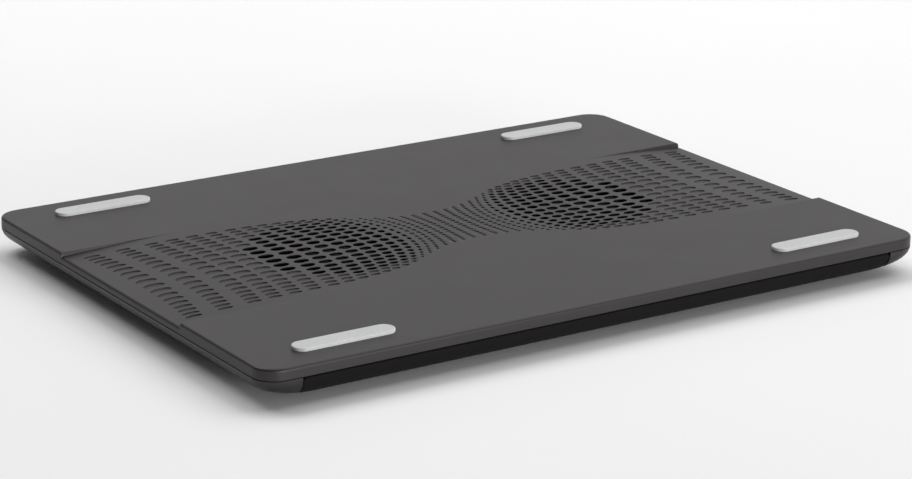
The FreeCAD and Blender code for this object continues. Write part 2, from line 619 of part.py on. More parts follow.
def band_profile(body, name, dip, outside, close_at):
    """Side view of one band end: flat, then an arc that dips, then a round into the side.

    dip is how far the outline lies inside the deck's surface, outside is where the side
    lies, and close_at is the level that the outline closes at."""
    sketch = sketch_on(body, name, "XZ_Plane")
    big = value(f"{BAND_RADIUS} - {dip}")
    small = value("dims.edge_round")
    start_x, start_z = value("dims.band_fade"), value(f"{DECK} - {dip}")
    side_x, close_z = value(outside), value(close_at)
    far_x = side_x if close_z < start_z else side_x + CUT_MARGIN
    big_middle = Vector(start_x, start_z - big)
    small_x = side_x - small
    small_z = big_middle.y + math.sqrt((big - small) ** 2 - (small_x - start_x) ** 2)
    small_middle = Vector(small_x, small_z)
    joint = math.atan2(small_z - big_middle.y, small_x - start_x)
    up = Vector(0, 0, 1)
    sketch.addGeometry(Part.ArcOfCircle(Part.Circle(big_middle, up, big), joint, math.pi / 2))
    sketch.addGeometry(Part.ArcOfCircle(Part.Circle(small_middle, up, small), 0, joint))
    outline = [Vector(side_x, small_z)]
    if far_x > side_x:
        outline.append(Vector(far_x, small_z))
    outline += [Vector(far_x, close_z), Vector(start_x, close_z), Vector(start_x, start_z)]
    for first, second in zip(outline, outline[1:]):
        sketch.addGeometry(Part.LineSegment(first, second))
    last = len(outline)
    sketch.addConstraint(Sketcher.Constraint("Tangent", 0, 1, 1, 2))
    sketch.addConstraint(Sketcher.Constraint("Coincident", 1, 1, 2, 1))
    for line in range(2, last):
        sketch.addConstraint(Sketcher.Constraint("Coincident", line, 2, line + 1, 1))
    sketch.addConstraint(Sketcher.Constraint("Coincident", last, 2, 0, 2))
    kinds = ["Vertical", "Horizontal", "Vertical"]
    if far_x > side_x:
        kinds.insert(0, "Horizontal")
    for line, kind in enumerate(kinds, start=2):
        sketch.addConstraint(Sketcher.Constraint(kind, line))
    sketch.addConstraint(Sketcher.Constraint("Vertical", 0, 3, 0, 2))
    sketch.addConstraint(Sketcher.Constraint("Horizontal", 1, 3, 1, 1))
    dimension(sketch, "Radius", 0, expression=f"{BAND_RADIUS} - {dip}")
    dimension(sketch, "Radius", 1, expression="dims.edge_round")
    dimension(sketch, "DistanceX", 0, 2, expression="dims.band_fade")
    dimension(sketch, "DistanceY", 0, 2, expression=f"{DECK} - {dip}")
    dimension(sketch, "DistanceX", 1, 1, expression=outside)
    dimension(sketch, "DistanceY", last, 1, expression=close_at)
    if far_x > side_x:
        dimension(sketch, "DistanceX", 3, 1, expression=f"{outside} + {CUT_MARGIN}")
    return sketch


def band_end(name, dip, outside, close_at, half, mirrored):
    """A solid across the band, drawn from the side view of its end."""
    body = DOC.addObject("PartDesign::Body", name)
    profile = band_profile(body, f"{name}_side", dip, outside, close_at)
    item = pad(body, f"{name}_pad", profile, f"2 * {half}")
    item.SideType = "Symmetric"
    if mirrored:
        bind(body, **{"Placement.Rotation.Angle": "180"})
        body.Placement.Rotation.Axis = Vector(0, 0, 1)
    return body


def vent_shape():
    """All vents of the deck's right half, as (x, y, length, width, row) from the middle of the deck."""
    pitch, closing, reach = (value(f"dims.row_{key}") for key in ("pitch", "closing", "reach"))
    shorten, squat = value("dims.vent_shorten"), value("dims.vent_squat")
    vents = []
    for middle_x, bow, half, full_length in VENT_COLUMNS:
        for row in range(VENT_ROWS):
            m = row + 0.5
            rise = (pitch * m - closing / 2 * m ** 2) / reach
            x = middle_x + bow * rise ** 2
            length = full_length * (1 - shorten * rise ** 2)
            width = squat * (pitch - closing * m) / reach * half
            vents += [(x, up * rise * half, length, width, row) for up in (-1, 1)]
    return vents


def vent_cutters(name):
    """Oval prisms: through the deck over the fans, shallow and square to the surface elsewhere."""
    open_radius = value("dims.open_radius")
    fan_x = value("dims.fan_x")
    deep = value("dims.deck_thick + dims.vent_through")
    shallow = value("dims.vent_depth")
    prisms = []
    for x, y, length, width, row in vent_shape():
        is_open = row < OPEN_ROWS and math.hypot(x - fan_x, y) < open_radius
        depth = deep if is_open else shallow
        major, minor = max(length, width) / 2, min(length, width) / 2
        edge = Part.Ellipse(Vector(), major, minor).toShape()
        prism = Part.Face(Part.Wire(edge)).extrude(Vector(0, 0, depth + CUT_MARGIN))
        if width > length:
            prism.rotate(Vector(), Vector(0, 0, 1), 90)
        prism.translate(Vector(0, 0, -depth))
        for sign in SIDES.values():
            height, slope = band_surface(sign * x)
            turn = Rotation(Vector(0, 1, 0), math.degrees(slope))
            prisms.append(prism.transformed(Placement(Vector(sign * x, y, height), turn).toMatrix()))
    return feature(name, Part.makeCompound(prisms))


def top_cover():
    block = slab("cover_block", PARTING, "dims.lip_height", "dims.pad_width / 2", "dims.pad_depth / 2",
                 "dims.corner_round")
    round_edges(block, "cover_edge", block.Group[-1], value(DECK), "dims.edge_round")

    inner_x = "(dims.pad_width / 2 - dims.cover_wall)"
    inner_y = "(dims.pad_depth / 2 - dims.cover_wall)"
    inner_round = "(dims.corner_round - dims.cover_wall)"
    ceiling_height = f"({CEILING} - {PARTING})"
    hollow = slab("cover_hollow", PARTING, ceiling_height, inner_x, inner_y, inner_round)
    lands = [
        box(f"cover_land_{side}",
            (f"dims.pad_width / 2 - dims.band_fade + {CUT_MARGIN}",
             "2 * (dims.band_half + dims.deck_thick)", ceiling_height),
            ("dims.band_fade" if sign > 0 else f"-dims.pad_width / 2 - {CUT_MARGIN}",
             "-(dims.band_half + dims.deck_thick)", PARTING))
        for side, sign in SIDES.items()]
    land_hollows = [
        band_end(f"cover_band_hollow_{side}", "dims.deck_thick", inner_x, PARTING,
                 "(dims.band_half + dims.deck_thick)", sign < 0)
        for side, sign in SIDES.items()]
    dips = [
        band_end(f"cover_band_dip_{side}", "0", "dims.pad_width / 2", f"{DECK} + {CUT_MARGIN}",
                 "dims.band_half", sign < 0)
        for side, sign in SIDES.items()]
    flat_hollow = cut("cover_flat_hollow", hollow, *lands)
    shaped = cut("cover_shaped", block, flat_hollow, *land_hollows, *dips)

    ducts, duct_bores = [], []
    duct_foot = f"({FAN_TOP} + dims.duct_gap)"
    for side, sign in SIDES.items():
        axis_x = f"{sign} * dims.fan_x"
        ducts.append(cylinder(
            f"cover_duct_{side}", "dims.duct_radius + dims.duct_wall",
            f"{CEILING} - {duct_foot} + dims.deck_thick / 2", (axis_x, "0", duct_foot)))
        duct_bores.append(cylinder(
            f"cover_duct_bore_{side}", "dims.duct_radius",
            f"{DECK} - dims.grille_thick - {duct_foot} + {CUT_MARGIN}",
            (axis_x, "0", f"{duct_foot} - {CUT_MARGIN}")))
    bosses = posts("cover_bosses", case_screw_places(), "dims.screw_head", PARTING,
                   f"{CEILING} - dims.band_drop + dims.boss_bite")
    tall_bosses = posts("cover_tall_bosses", [place for place in case_screw_places() if place[1]],
                        "dims.screw_head", PARTING, f"{CEILING} + dims.boss_bite")
    bossed = fuse("cover_bossed", shaped, *ducts, bosses, tall_bosses)

    screw_tip = f"({UNDERSIDE} + dims.case_sink + dims.case_screw_length)"
    strip_seats = [
        put(strip_body(f"cover_seat_{end}_{side}", f"{DECK} - dims.strip_sunk", "dims.strip_proud"),
            f"{SIDES[side]} * dims.strip_x", f"{ENDS[end]} * dims.strip_y")
        for end in ENDS for side in SIDES]
    inlet_port = box(
        "cover_inlet_port",
        ("dims.inlet_width + 2 * dims.inlet_play", "3 * dims.cover_wall",
         f"{CEILING} - {PARTING}"),
        ("dims.inlet_x - dims.inlet_width / 2 - dims.inlet_play",
         "dims.pad_depth / 2 - 2 * dims.cover_wall", PARTING))
    fitted = cut("cover_fitted", bossed,
                 posts("cover_pilots", case_screw_places(), "dims.screw_shank", PARTING, screw_tip),
                 inlet_port, *strip_seats, *duct_bores)
    node("top_cover", cut("top_cover_form", fitted, vent_cutters("cover_vents")))


def strip_body(name, level, height):
    body = DOC.addObject("PartDesign::Body", name)
    outline = stadium(body, f"{name}_outline", level, "dims.strip_length", "dims.strip_width")
    pad(body, f"{name}_pad", outline, height)
    return body


def grip_strips():
    """Four pale rubber strips that the laptop rests on."""
    height = "dims.strip_sunk + dims.strip_proud"
    for end, end_sign in ENDS.items():
        for side, side_sign in SIDES.items():
            name = f"grip_strip_{end}_{side}"
            body = strip_body(f"{name}_body", f"{DECK} - dims.strip_sunk", height)
            top = value(f"{DECK} + dims.strip_proud")
            round_edges(body, f"{name}_edge", body.Group[-1], top, "dims.strip_edge")
            node(name, put(body, f"{side_sign} * dims.strip_x", f"{end_sign} * dims.strip_y"))


def rubber_feet():
    """Four round feet, seated in the underside."""
    for (end, side), centre in foot_centres().items():
        name = f"rubber_foot_{end}_{side}"
        block = cylinder(f"{name}_block", "dims.foot_radius", "dims.foot_height + dims.foot_sunk",
                         ("0", "0", "0"))
        DOC.recompute()
        foot = DOC.addObject("Part::Chamfer", f"{name}_form")
        foot.Base = block
        rim = next(int(edge[4:]) for edge in edges_at(block.Shape, 0.0))
        foot.Edges = [(rim, value("dims.foot_edge"), value("dims.foot_edge"))]
        node(name, put(foot, *centre))


# ---------------------------------------------------------------- screws

def screw_master(name, shank, head, length):
    """A pan-head screw with a cross recess: head up, its seat at the origin."""
    stem = cylinder(f"{name}_stem", shank, length, ("0", "0", f"-({length})"))
    cap = cylinder(f"{name}_cap", head, "dims.screw_head_thick", ("0", "0", "0"))
    bars = [
        bar(f"{name}_bar_{turn}", f"dims.screw_slot_reach * {head}", "dims.screw_slot",
            "dims.screw_head_thick", "dims.screw_head_thick - dims.screw_slot_deep", turn)
        for turn in (0, 90)]
    return cut(name, fuse(f"{name}_blank", stem, cap), *bars)


def screws():
    """Casing screws from below, fan screws and control board screws from above."""
    over = Rotation(Vector(1, 0, 0), 180)
    seat = value(f"{UNDERSIDE} + dims.case_sink")
    case = screw_master("case_screw", "dims.screw_shank", "dims.screw_head", "dims.case_screw_length")
    places = [Placement(Vector(x, y, seat), over) for x, y in case_screw_places()]
    node("case_screws", group_of("case_screws_group", case, places))

    fan = screw_master("fan_screw", "dims.screw_shank", "dims.screw_head", "dims.fan_screw_length")
    for side, corners in fan_screw_places().items():
        places = [Placement(Vector(x, y, value(FAN_TOP)), Rotation()) for x, y in corners]
        node(f"fan_screws_{side}", group_of(f"fan_screws_{side}_group", fan, places))

    small = screw_master("panel_screw", "dims.panel_screw_shank", "dims.panel_screw_head",
                         "dims.panel_screw_length")
    places = [Placement(Vector(x, y, value(PARTING)), Rotation()) for x, y in panel_post_places()]
    node("board_screws", group_of("board_screws_group", small, places))


# ---------------------------------------------------------------- fans

def place_fan_piece(name, side, item):
    """Move a piece drawn on the fan's own axis and underside to its fan."""
    return node(f"{name}_{side}", put(item, f"{SIDES[side]} * dims.fan_x", "0", FAN_FOOT))


def fan_frame(side):
    """Square frame with a round bore, thin corner ears, a motor disc on four struts."""
    tag = f"frame_{side}"
    half = "dims.fan_side / 2"
    square = slab(f"{tag}_square", "0", "dims.fan_height", half, half, "dims.fan_round")
    tools = [cylinder(f"{tag}_bore", "dims.fan_bore", "dims.fan_height", ("0", "0", "0"))]
    for index, (sx, sy) in enumerate([(1, 1), (1, -1), (-1, 1), (-1, -1)]):
        tools.append(cylinder(f"{tag}_hole_{index}", "dims.fan_hole", "dims.fan_height",
                              (f"{sx} * dims.fan_pitch", f"{sy} * dims.fan_pitch", "0")))
        corner = [f"{half} - dims.ear_inset" if sign > 0 else f"-{half} - {CUT_MARGIN}" for sign in (sx, sy)]
        side_length = f"dims.ear_inset + {CUT_MARGIN}"
        tools.append(box(f"{tag}_relief_{index}",
                         (side_length, side_length, "dims.fan_height - dims.ear_thick"), (*corner, "0")))
    ring = cut(f"{tag}_ring", square, *tools)
    reach = "(dims.fan_bore + dims.strut_bite)"
    struts = [
        bar(f"{tag}_strut_{turn}", f"2 * {reach}", "dims.strut_width", "dims.disc_thick", "0", turn)
        for turn in (45, 135)]
    struts.append(box(f"{tag}_trough", ("dims.trough_width", reach, "dims.disc_thick"),
                      ("-dims.trough_width / 2", "0", "0")))
    disc = cylinder(f"{tag}_disc", "dims.disc_radius", "dims.disc_thick", ("0", "0", "0"))
    tube = cylinder(f"{tag}_tube", "dims.tube_radius", "dims.tube_top", ("0", "0", "0"))
    whole = fuse(f"{tag}_whole", ring, *struts, disc, tube)
    bore = cylinder(f"{tag}_bearing_bore", "dims.bearing_radius", "dims.tube_top",
                    ("0", "0", "dims.pad_foot"))
    channel = box(f"{tag}_channel",
                  ("dims.trough_inner", "dims.fan_side / 2 - dims.lead_start + dims.lead_radius",
                   "3 * dims.disc_thick / 2"),
                  ("-dims.trough_inner / 2", "dims.lead_start - dims.lead_radius", "dims.trough_floor"))
    place_fan_piece("fan_frame", side, cut(f"{tag}_form", whole, bore, channel))


def blade_section(distance, chord, pitch, sweep):
    """A thin cambered blade section on a plane square to the radius."""
    thick = value("dims.blade_thick") / 2
    camber = value("dims.blade_camber") * chord
    along = Vector(0, math.cos(pitch), math.sin(pitch))
    across = Vector(0, -math.sin(pitch), math.cos(pitch))
    middle = Vector(distance, sweep, value("dims.blade_middle"))
    ends = [middle + along * (sign * chord / 2) for sign in (-1, 1)]
    upper = [end + across * (thick / 2) for end in ends]
    lower = [end - across * (thick / 2) for end in ends]
    top = Part.Arc(upper[0], middle + across * (camber + thick), upper[1]).toShape()
    under = Part.Arc(lower[1], middle + across * (camber - thick), lower[0]).toShape()
    nose = Part.makeLine(upper[1], lower[1])
    tail = Part.makeLine(lower[0], upper[0])
    return Part.Wire([top, nose, under, tail])


def blades(name):
    """Swept, twisted blades between the hub and the tip circle."""
    root_plane = value("dims.hub_radius - dims.hub_wall / 2")
    tip = value("dims.tip_radius")
    root_chord, tip_chord = value("dims.blade_root"), value("dims.blade_tip")
    sections = []
    for part in BLADE_STATIONS:
        distance = root_plane + part * (tip - root_plane)
        chord = root_chord + part * (tip_chord - root_chord)
        pitch = math.radians(value("dims.blade_pitch") - value("dims.blade_twist") * part)
        sections.append(blade_section(distance, chord, pitch, value("dims.blade_sweep") * part ** 2))
    blade = Part.makeLoft(sections, True)
    blade = blade.common(Part.makeCylinder(tip, value("dims.fan_height")))
    turned = []
    for index in range(BLADE_COUNT):
        copy = blade.copy()
        copy.rotate(Vector(), Vector(0, 0, 1), 360 * index / BLADE_COUNT)
        turned.append(feature(f"{name}_{index}", copy))
    return turned


def impeller(side):
    """Hub cup with its boss, and the blades."""
    tag = f"impeller_{side}"
    cup_height = "dims.hub_top - dims.hub_foot"
    cup = cylinder(f"{tag}_cup", "dims.hub_radius", cup_height, ("0", "0", "dims.hub_foot"))
    DOC.recompute()
    rounded = DOC.addObject("Part::Fillet", f"{tag}_rounded")
    rounded.Base = cup
    rim = int(edges_at(cup.Shape, value("dims.hub_top"))[0][4:])
    rounded.Edges = [(rim, value("dims.hub_round"), value("dims.hub_round"))]
    inside = cylinder(f"{tag}_inside", "dims.hub_radius - dims.hub_wall", f"{cup_height} - dims.hub_wall",
                      ("0", "0", "dims.hub_foot"))
    boss = cylinder(f"{tag}_boss", "dims.boss_radius", "dims.hub_top - dims.hub_wall / 2 - dims.boss_foot",
                    ("0", "0", "dims.boss_foot"))
    bladed = fuse(f"{tag}_bladed", rounded, *blades(f"{tag}_blade"))
    whole = fuse(f"{tag}_whole", cut(f"{tag}_hollow", bladed, inside), boss)
    bore = cylinder(f"{tag}_bore", "dims.shaft_radius", "dims.shaft_top", ("0", "0", "0"))
    place_fan_piece("impeller", side, cut(f"{tag}_form", whole, bore))


def rotor_pieces(side):
    """Steel cup, ring magnet and shaft, which turn with the impeller."""
    tag = f"rotor_{side}"
    cup_radius = "(dims.hub_radius - dims.hub_wall)"
    cup_top = "(dims.hub_top - dims.hub_wall)"
    cup = cylinder(f"{tag}_cup", cup_radius, f"{cup_top} - dims.yoke_foot", ("0", "0", "dims.yoke_foot"))
    inside = cylinder(f"{tag}_inside", f"{cup_radius} - dims.yoke_wall",
                      f"{cup_top} - dims.yoke_wall - dims.yoke_foot", ("0", "0", "dims.yoke_foot"))
    eye = cylinder(f"{tag}_eye", "dims.boss_radius", "dims.fan_height", ("0", "0", "0"))
    place_fan_piece("rotor_cup", side, cut(f"{tag}_cup_form", cup, inside, eye))

    magnet_radius = f"({cup_radius} - dims.yoke_wall)"
    magnet_height = f"{cup_top} - dims.yoke_wall - dims.yoke_foot"
    magnet = cylinder(f"{tag}_magnet", magnet_radius, magnet_height, ("0", "0", "dims.yoke_foot"))
    magnet_bore = cylinder(f"{tag}_magnet_bore", f"{magnet_radius} - dims.magnet_wall", magnet_height,
                           ("0", "0", "dims.yoke_foot"))
    place_fan_piece("rotor_magnet", side, cut(f"{tag}_magnet_form", magnet, magnet_bore))
    place_fan_piece("fan_shaft", side, cylinder(
        f"{tag}_shaft", "dims.shaft_radius", "dims.shaft_top - dims.shaft_foot", ("0", "0", "0")))
    NODES[f"fan_shaft_{side}"].setExpression("Placement.Base.z", f"{FAN_FOOT} + dims.shaft_foot")


def stator_pieces(side):
    """Bearing, thrust pad, driver board, laminated core and its four coils."""
    tag = f"stator_{side}"
    bush = cylinder(f"{tag}_bush", "dims.bearing_radius", "dims.tube_top - dims.bearing_foot",
                    ("0", "0", "dims.bearing_foot"))
    bush_bore = cylinder(f"{tag}_bush_bore", "dims.bearing_bore", "dims.tube_top", ("0", "0", "0"))
    place_fan_piece("sleeve_bearing", side, cut(f"{tag}_bush_form", bush, bush_bore))
    place_fan_piece("thrust_pad", side, cylinder(
        f"{tag}_pad", "dims.bearing_radius", "dims.pad_thick", ("0", "0", "0")))
    NODES[f"thrust_pad_{side}"].setExpression("Placement.Base.z", f"{FAN_FOOT} + dims.pad_foot")

    board = cylinder(f"{tag}_board", "dims.board_radius", "dims.board_thick", ("0", "0", "dims.board_foot"))
    board_hole = cylinder(f"{tag}_board_hole", "dims.tube_radius", "dims.fan_height", ("0", "0", "0"))
    place_fan_piece("fan_board", side, cut(f"{tag}_board_form", board, board_hole))

    level = ("0", "0", "dims.core_foot")
    arms = [
        bar(f"{tag}_arm_{turn}", "2 * (dims.shoe_outer - dims.arm_set)", "dims.core_arm", "dims.core_thick",
            "dims.core_foot", turn)
        for turn in (0, 90)]
    shoe_bars = [
        bar(f"{tag}_shoe_{turn}", "2 * dims.shoe_outer", "dims.shoe_width", "dims.core_thick",
            "dims.core_foot", turn)
        for turn in (0, 90)]
    hub = cylinder(f"{tag}_core_hub", "dims.core_ring", "dims.core_thick", level)
    rim = cylinder(f"{tag}_core_rim", "dims.shoe_outer", "dims.core_thick", level)
    rim_bore = cylinder(f"{tag}_core_rim_bore", "dims.shoe_inner", "dims.core_thick", level)
    rim_ring = cut(f"{tag}_core_ring", rim, rim_bore)
    shoes = common(f"{tag}_core_shoes", rim_ring, fuse(f"{tag}_shoe_bars", *shoe_bars))
    core = fuse(f"{tag}_core", hub, shoes, *arms)
    place_fan_piece("stator_core", side, cut(f"{tag}_core_form", core, board_hole))

    coils = []
    length, width = value("dims.coil_end - dims.coil_start"), value("dims.coil_width")
    margin = value("dims.coil_margin")
    height = value("dims.core_thick") + 2 * margin
    arm_width = value("dims.core_arm")
    foot = value("dims.core_foot")
    block = Part.makeBox(length, width, height,
                         Vector(value("dims.coil_start"), -width / 2, foot - margin))
    block = block.makeFillet(margin, [edge for edge in block.Edges if edge.BoundBox.XLength > margin])
    arm_space = Part.makeBox(length, arm_width, height - 2 * margin,
                             Vector(value("dims.coil_start"), -arm_width / 2, foot))
    coil = block.cut(arm_space)
    for turn in QUARTERS:
        turned = coil.copy()
        turned.rotate(Vector(), Vector(0, 0, 1), turn)
        coils.append(turned)
    place_fan_piece("stator_coils", side, feature(f"{tag}_coils", Part.makeCompound(coils)))


# ---------------------------------------------------------------- electronics

def power_inlet():
    """A small receptacle at the rear, flush with the casing: sheet shell, tongue, contacts."""
    rear = "(dims.pad_depth / 2 - dims.inlet_set)"
    front = f"({rear} - dims.inlet_length)"
    left = "(dims.inlet_x - dims.inlet_width / 2)"
    outer = box("inlet_outer", ("dims.inlet_width", "dims.inlet_length", "dims.inlet_height"),
                (left, front, PARTING))
    DOC.recompute()
    shaped = DOC.addObject("Part::Chamfer", "inlet_shaped")
    shaped.Base = outer
    shaped.Edges = lower_long_edges(outer.Shape, "dims.inlet_chamfer")
    sheet = "dims.inlet_sheet"
    inner = box("inlet_inner",
                (f"dims.inlet_width - 2 * {sheet}", "dims.inlet_length", f"dims.inlet_height - 2 * {sheet}"),
                (f"{left} + {sheet}", f"{front} + {sheet}", f"{PARTING} + {sheet}"))
    DOC.recompute()
    inner_shaped = DOC.addObject("Part::Chamfer", "inlet_inner_shaped")
    inner_shaped.Base = inner
    inner_shaped.Edges = lower_long_edges(inner.Shape, "dims.inlet_chamfer")
    node("power_inlet_shell", cut("inlet_form", shaped, inner_shaped))

    base = f"({front} + {sheet})"
    lift = f"({PARTING} + dims.tongue_lift)"
    node("power_inlet_tongue", box(
        "inlet_tongue", ("dims.tongue_width", "dims.tongue_length", "dims.tongue_thick"),
        ("dims.inlet_x - dims.tongue_width / 2", base, lift)))
    thick, width = value("dims.contact_thick"), value("dims.contact_width")
    strips = [
        Part.makeBox(width, value("dims.tongue_length - dims.contact_set"), thick,
                     Vector(value("dims.inlet_x") + index * value("dims.contact_pitch") - width / 2,
                            value(base), value(lift) - thick))
        for index in CONTACTS]
    node("power_inlet_contacts", feature("inlet_contacts", Part.makeCompound(strips)))


def lower_long_edges(shape, size):
    """The lower edges that run front to rear, as chamfer entries."""
    entries = []
    for index, edge in enumerate(shape.Edges, start=1):
        limits = edge.BoundBox
        if limits.YLength > 1 and limits.XLength < 0.01 and limits.ZMax - shape.BoundBox.ZMin < 0.01:
            entries.append((index, value(size), value(size)))
    return entries


def header_middle(side):
    return f"(dims.inlet_x + {SIDES[side]} * dims.header_x)"


def control_board():
    """Board on four posts, with the inlet, two lead headers and a few chips."""
    front = "(dims.panel_rear - dims.panel_depth)"
    under = f"({PARTING} - dims.panel_thick)"
    board = box("panel_board", ("dims.panel_width", "dims.panel_depth", "dims.panel_thick"),
                ("dims.inlet_x - dims.panel_width / 2", front, under))
    node("control_board", cut("panel_form", board, posts(
        "panel_holes", panel_post_places(), "dims.panel_screw_shank", under, DECK)))

    wall = "dims.header_wall"
    for side in SIDES:
        left = f"({header_middle(side)} - dims.header_width / 2)"
        outer = box(f"header_{side}_outer", ("dims.header_width", "dims.header_depth", "dims.header_height"),
                    (left, front, PARTING))
        socket = box(f"header_{side}_socket",
                     (f"dims.header_width - 2 * {wall}", f"dims.header_depth - {wall}",
                      f"dims.header_height - 2 * {wall}"),
                     (f"{left} + {wall}", front, f"{PARTING} + {wall}"))
        node(f"lead_header_{side}", cut(f"header_{side}_form", outer, socket))
        play = "dims.plug_play"
        node(f"lead_plug_{side}", box(
            f"plug_{side}",
            (f"dims.header_width - 2 * {wall} - 2 * {play}", "dims.plug_length",
             f"dims.header_height - 2 * {wall} - 2 * {play}"),
            (f"{left} + {wall} + {play}",
             f"{front} + dims.header_depth - {wall} - {play} - dims.plug_length",
             f"{PARTING} + {wall} + {play}")))

    solids = [
        Part.makeBox(length, width, height,
                     Vector(value("dims.inlet_x") + x, value(front) + y, value(PARTING)))
        for x, y, length, width, height in CHIPS]
    node("board_components", feature("panel_chips", Part.makeCompound(solids)))


def smooth_tube(points, radius):
    """A round tube along straight runs that tangent arcs join."""
    edges = []
    start = points[0]
    for before, point, after in zip(points, points[1:], points[2:]):
        back, on = before - point, after - point
        turn = math.pi - back.getAngle(on)
        reach = value("dims.tube_ease") * min(back.Length, on.Length)
        bend = reach / math.tan(turn / 2)
        back.normalize()
        on.normalize()
        first, last = point + back * reach, point + on * reach
        inwards = back + on
        inwards.normalize()
        middle = point + inwards * (bend / math.cos(turn / 2) - bend)
        edges.append(Part.makeLine(start, first))
        edges.append(Part.Arc(first, middle, last).toShape())
        start = last
    edges.append(Part.makeLine(start, points[-1]))
    ring = Part.makeCircle(radius, points[0], points[1] - points[0])
    return Part.Wire(edges).makePipeShell([Part.Wire(ring)], True, False)


def fan_leads():
    """A red and a black lead from each fan to its plug, along the floor behind the fans."""
    radius = value("dims.lead_radius")
    start_z = value(f"{FAN_FOOT} + dims.trough_floor + dims.lead_radius")
    floor_z = value(f"{UNDERSIDE} + dims.cushion_thick + dims.well_floor + dims.lead_radius + dims.lead_bed")
    plug_y = value("dims.panel_rear - dims.panel_depth + dims.header_depth - dims.header_wall"
                   " - dims.plug_play - dims.plug_length")
    plug_z = value(f"{PARTING} + dims.header_height / 2")
    for side, sign in SIDES.items():
        fan_x = sign * value("dims.fan_x")
        plug_x = value(header_middle(side))
        for colour, step in (("red", -0.5), ("black", 0.5)):
            shift = step * value("dims.lead_pitch")
            points = [
                Vector(fan_x + shift, value("dims.lead_start"), start_z),
                Vector(fan_x + shift, value(f"{WELL_HALF} - dims.lead_climb"), start_z),
                Vector(fan_x + shift, value(f"{WELL_HALF} + dims.lead_over"), floor_z),
            ]
            points += [Vector(x + shift, y - shift, floor_z + lift) for x, y, lift in LEAD_WAYS[side]]
            points += [
                Vector(plug_x + shift, plug_y - value("dims.lead_run_in"), plug_z),
                Vector(plug_x + shift, plug_y, plug_z),
            ]
            node(f"fan_lead_{colour}_{side}", feature(f"lead_{colour}_{side}", smooth_tube(points, radius)))


# ---------------------------------------------------------------- whole pad

def check_and_write():
    """Stop on any failed object or bad shape, then write one file per sub-part."""
    DOC.recompute()
    for item in DOC.Objects:
        if "Invalid" in item.State or "Error" in item.State:
            raise RuntimeError(f"{item.Name} failed: {item.State}")
    for name, item in NODES.items():
        shape = item.Shape
        if shape.isNull() or not shape.isValid() or not shape.Solids:
            raise RuntimeError(f"{name} has no valid shape")
    os.makedirs("parts", exist_ok=True)
    for name, item in NODES.items():
        item.Shape.exportStep(f"parts/{name}.step")
        print(f"{name}: {len(item.Shape.Solids)} solid(s), {item.Shape.Volume:.1f} mm3")


fill_sheet()
bottom_shell()
top_cover()
grip_strips()
rubber_feet()
screws()
for fan in SIDES:
    fan_frame(fan)
    impeller(fan)
    rotor_pieces(fan)
    stator_pieces(fan)
power_inlet()
control_board()
fan_leads()
check_and_write()
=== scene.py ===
import math

import bmesh
import bpy
import numpy as np
from mathutils import Matrix, Vector
from mathutils.geometry import delaunay_2d_cdt


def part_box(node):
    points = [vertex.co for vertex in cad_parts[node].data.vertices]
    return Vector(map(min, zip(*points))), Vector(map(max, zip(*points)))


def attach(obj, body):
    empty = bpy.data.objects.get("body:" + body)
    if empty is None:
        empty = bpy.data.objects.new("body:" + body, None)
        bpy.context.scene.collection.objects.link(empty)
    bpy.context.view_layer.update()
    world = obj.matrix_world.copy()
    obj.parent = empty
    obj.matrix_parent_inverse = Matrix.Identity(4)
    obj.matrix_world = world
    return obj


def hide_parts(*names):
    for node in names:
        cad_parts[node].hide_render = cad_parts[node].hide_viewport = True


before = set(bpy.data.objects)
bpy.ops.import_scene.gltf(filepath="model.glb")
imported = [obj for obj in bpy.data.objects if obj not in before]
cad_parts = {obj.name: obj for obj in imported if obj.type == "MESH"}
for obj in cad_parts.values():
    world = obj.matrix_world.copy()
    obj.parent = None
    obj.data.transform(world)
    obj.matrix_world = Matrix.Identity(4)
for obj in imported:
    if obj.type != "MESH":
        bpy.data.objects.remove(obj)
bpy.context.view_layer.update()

# Laptop cooling pad. Lengths are worked out in millimetres and become metres when a mesh is made.
# The origin lies on the floor under the middle of the pad, +Y runs to the rear edge.

MM = 0.001


def box_mm(node):
    """Lowest and highest corner of a CAD node, in millimetres."""
    return tuple(np.array(corner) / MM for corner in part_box(node))


COVER_LOW, COVER_HIGH = box_mm("top_cover")
SHELL_LOW, _ = box_mm("bottom_shell")
_, CUSHION_HIGH = box_mm("lap_cushion")
INLET_LOW, INLET_HIGH = box_mm("power_inlet_shell")
HALF_X, HALF_Y = COVER_HIGH[0], COVER_HIGH[1]
PARTING, DECK, UNDERSIDE = COVER_LOW[2], COVER_HIGH[2], SHELL_LOW[2]
FAN_X = sum(box_mm("rotor_cup_right")[k][0] for k in (0, 1)) / 2
FAN_TOP = box_mm("fan_frame_right")[1][2]

# The casing's form, as in the CAD source.
CORNER, EDGE = 11.4, 1.3
BAND_FADE, BAND_DROP = 113.0, 2.1
BAND_RADIUS = ((HALF_X - BAND_FADE) ** 2 + BAND_DROP ** 2) / (2 * BAND_DROP)
SIDE_RUN, END_RUN, BASE_ROUND = 19.0, 9.5, 15.5
DECK_THICK, COVER_WALL = 2.0, 2.4
GRILLE_THICK = 1.0
OPEN_RADIUS, OPEN_ROWS, VENT_DEPTH = 42.2, 7, 0.45
DUCT_RADIUS, DUCT_WALL, DUCT_GAP = 39.0, 1.2, 0.1
WELL_HALF, WELL_ROUND = 43.0, 8.0
PORT_PLAY = 0.2
ROWS, SUB = 9, 5
ROW_PITCH, ROW_CLOSING, ROW_REACH = 8.1, 0.473, 51.3
VENT_SHORTEN, VENT_SQUAT = 0.2, 0.75

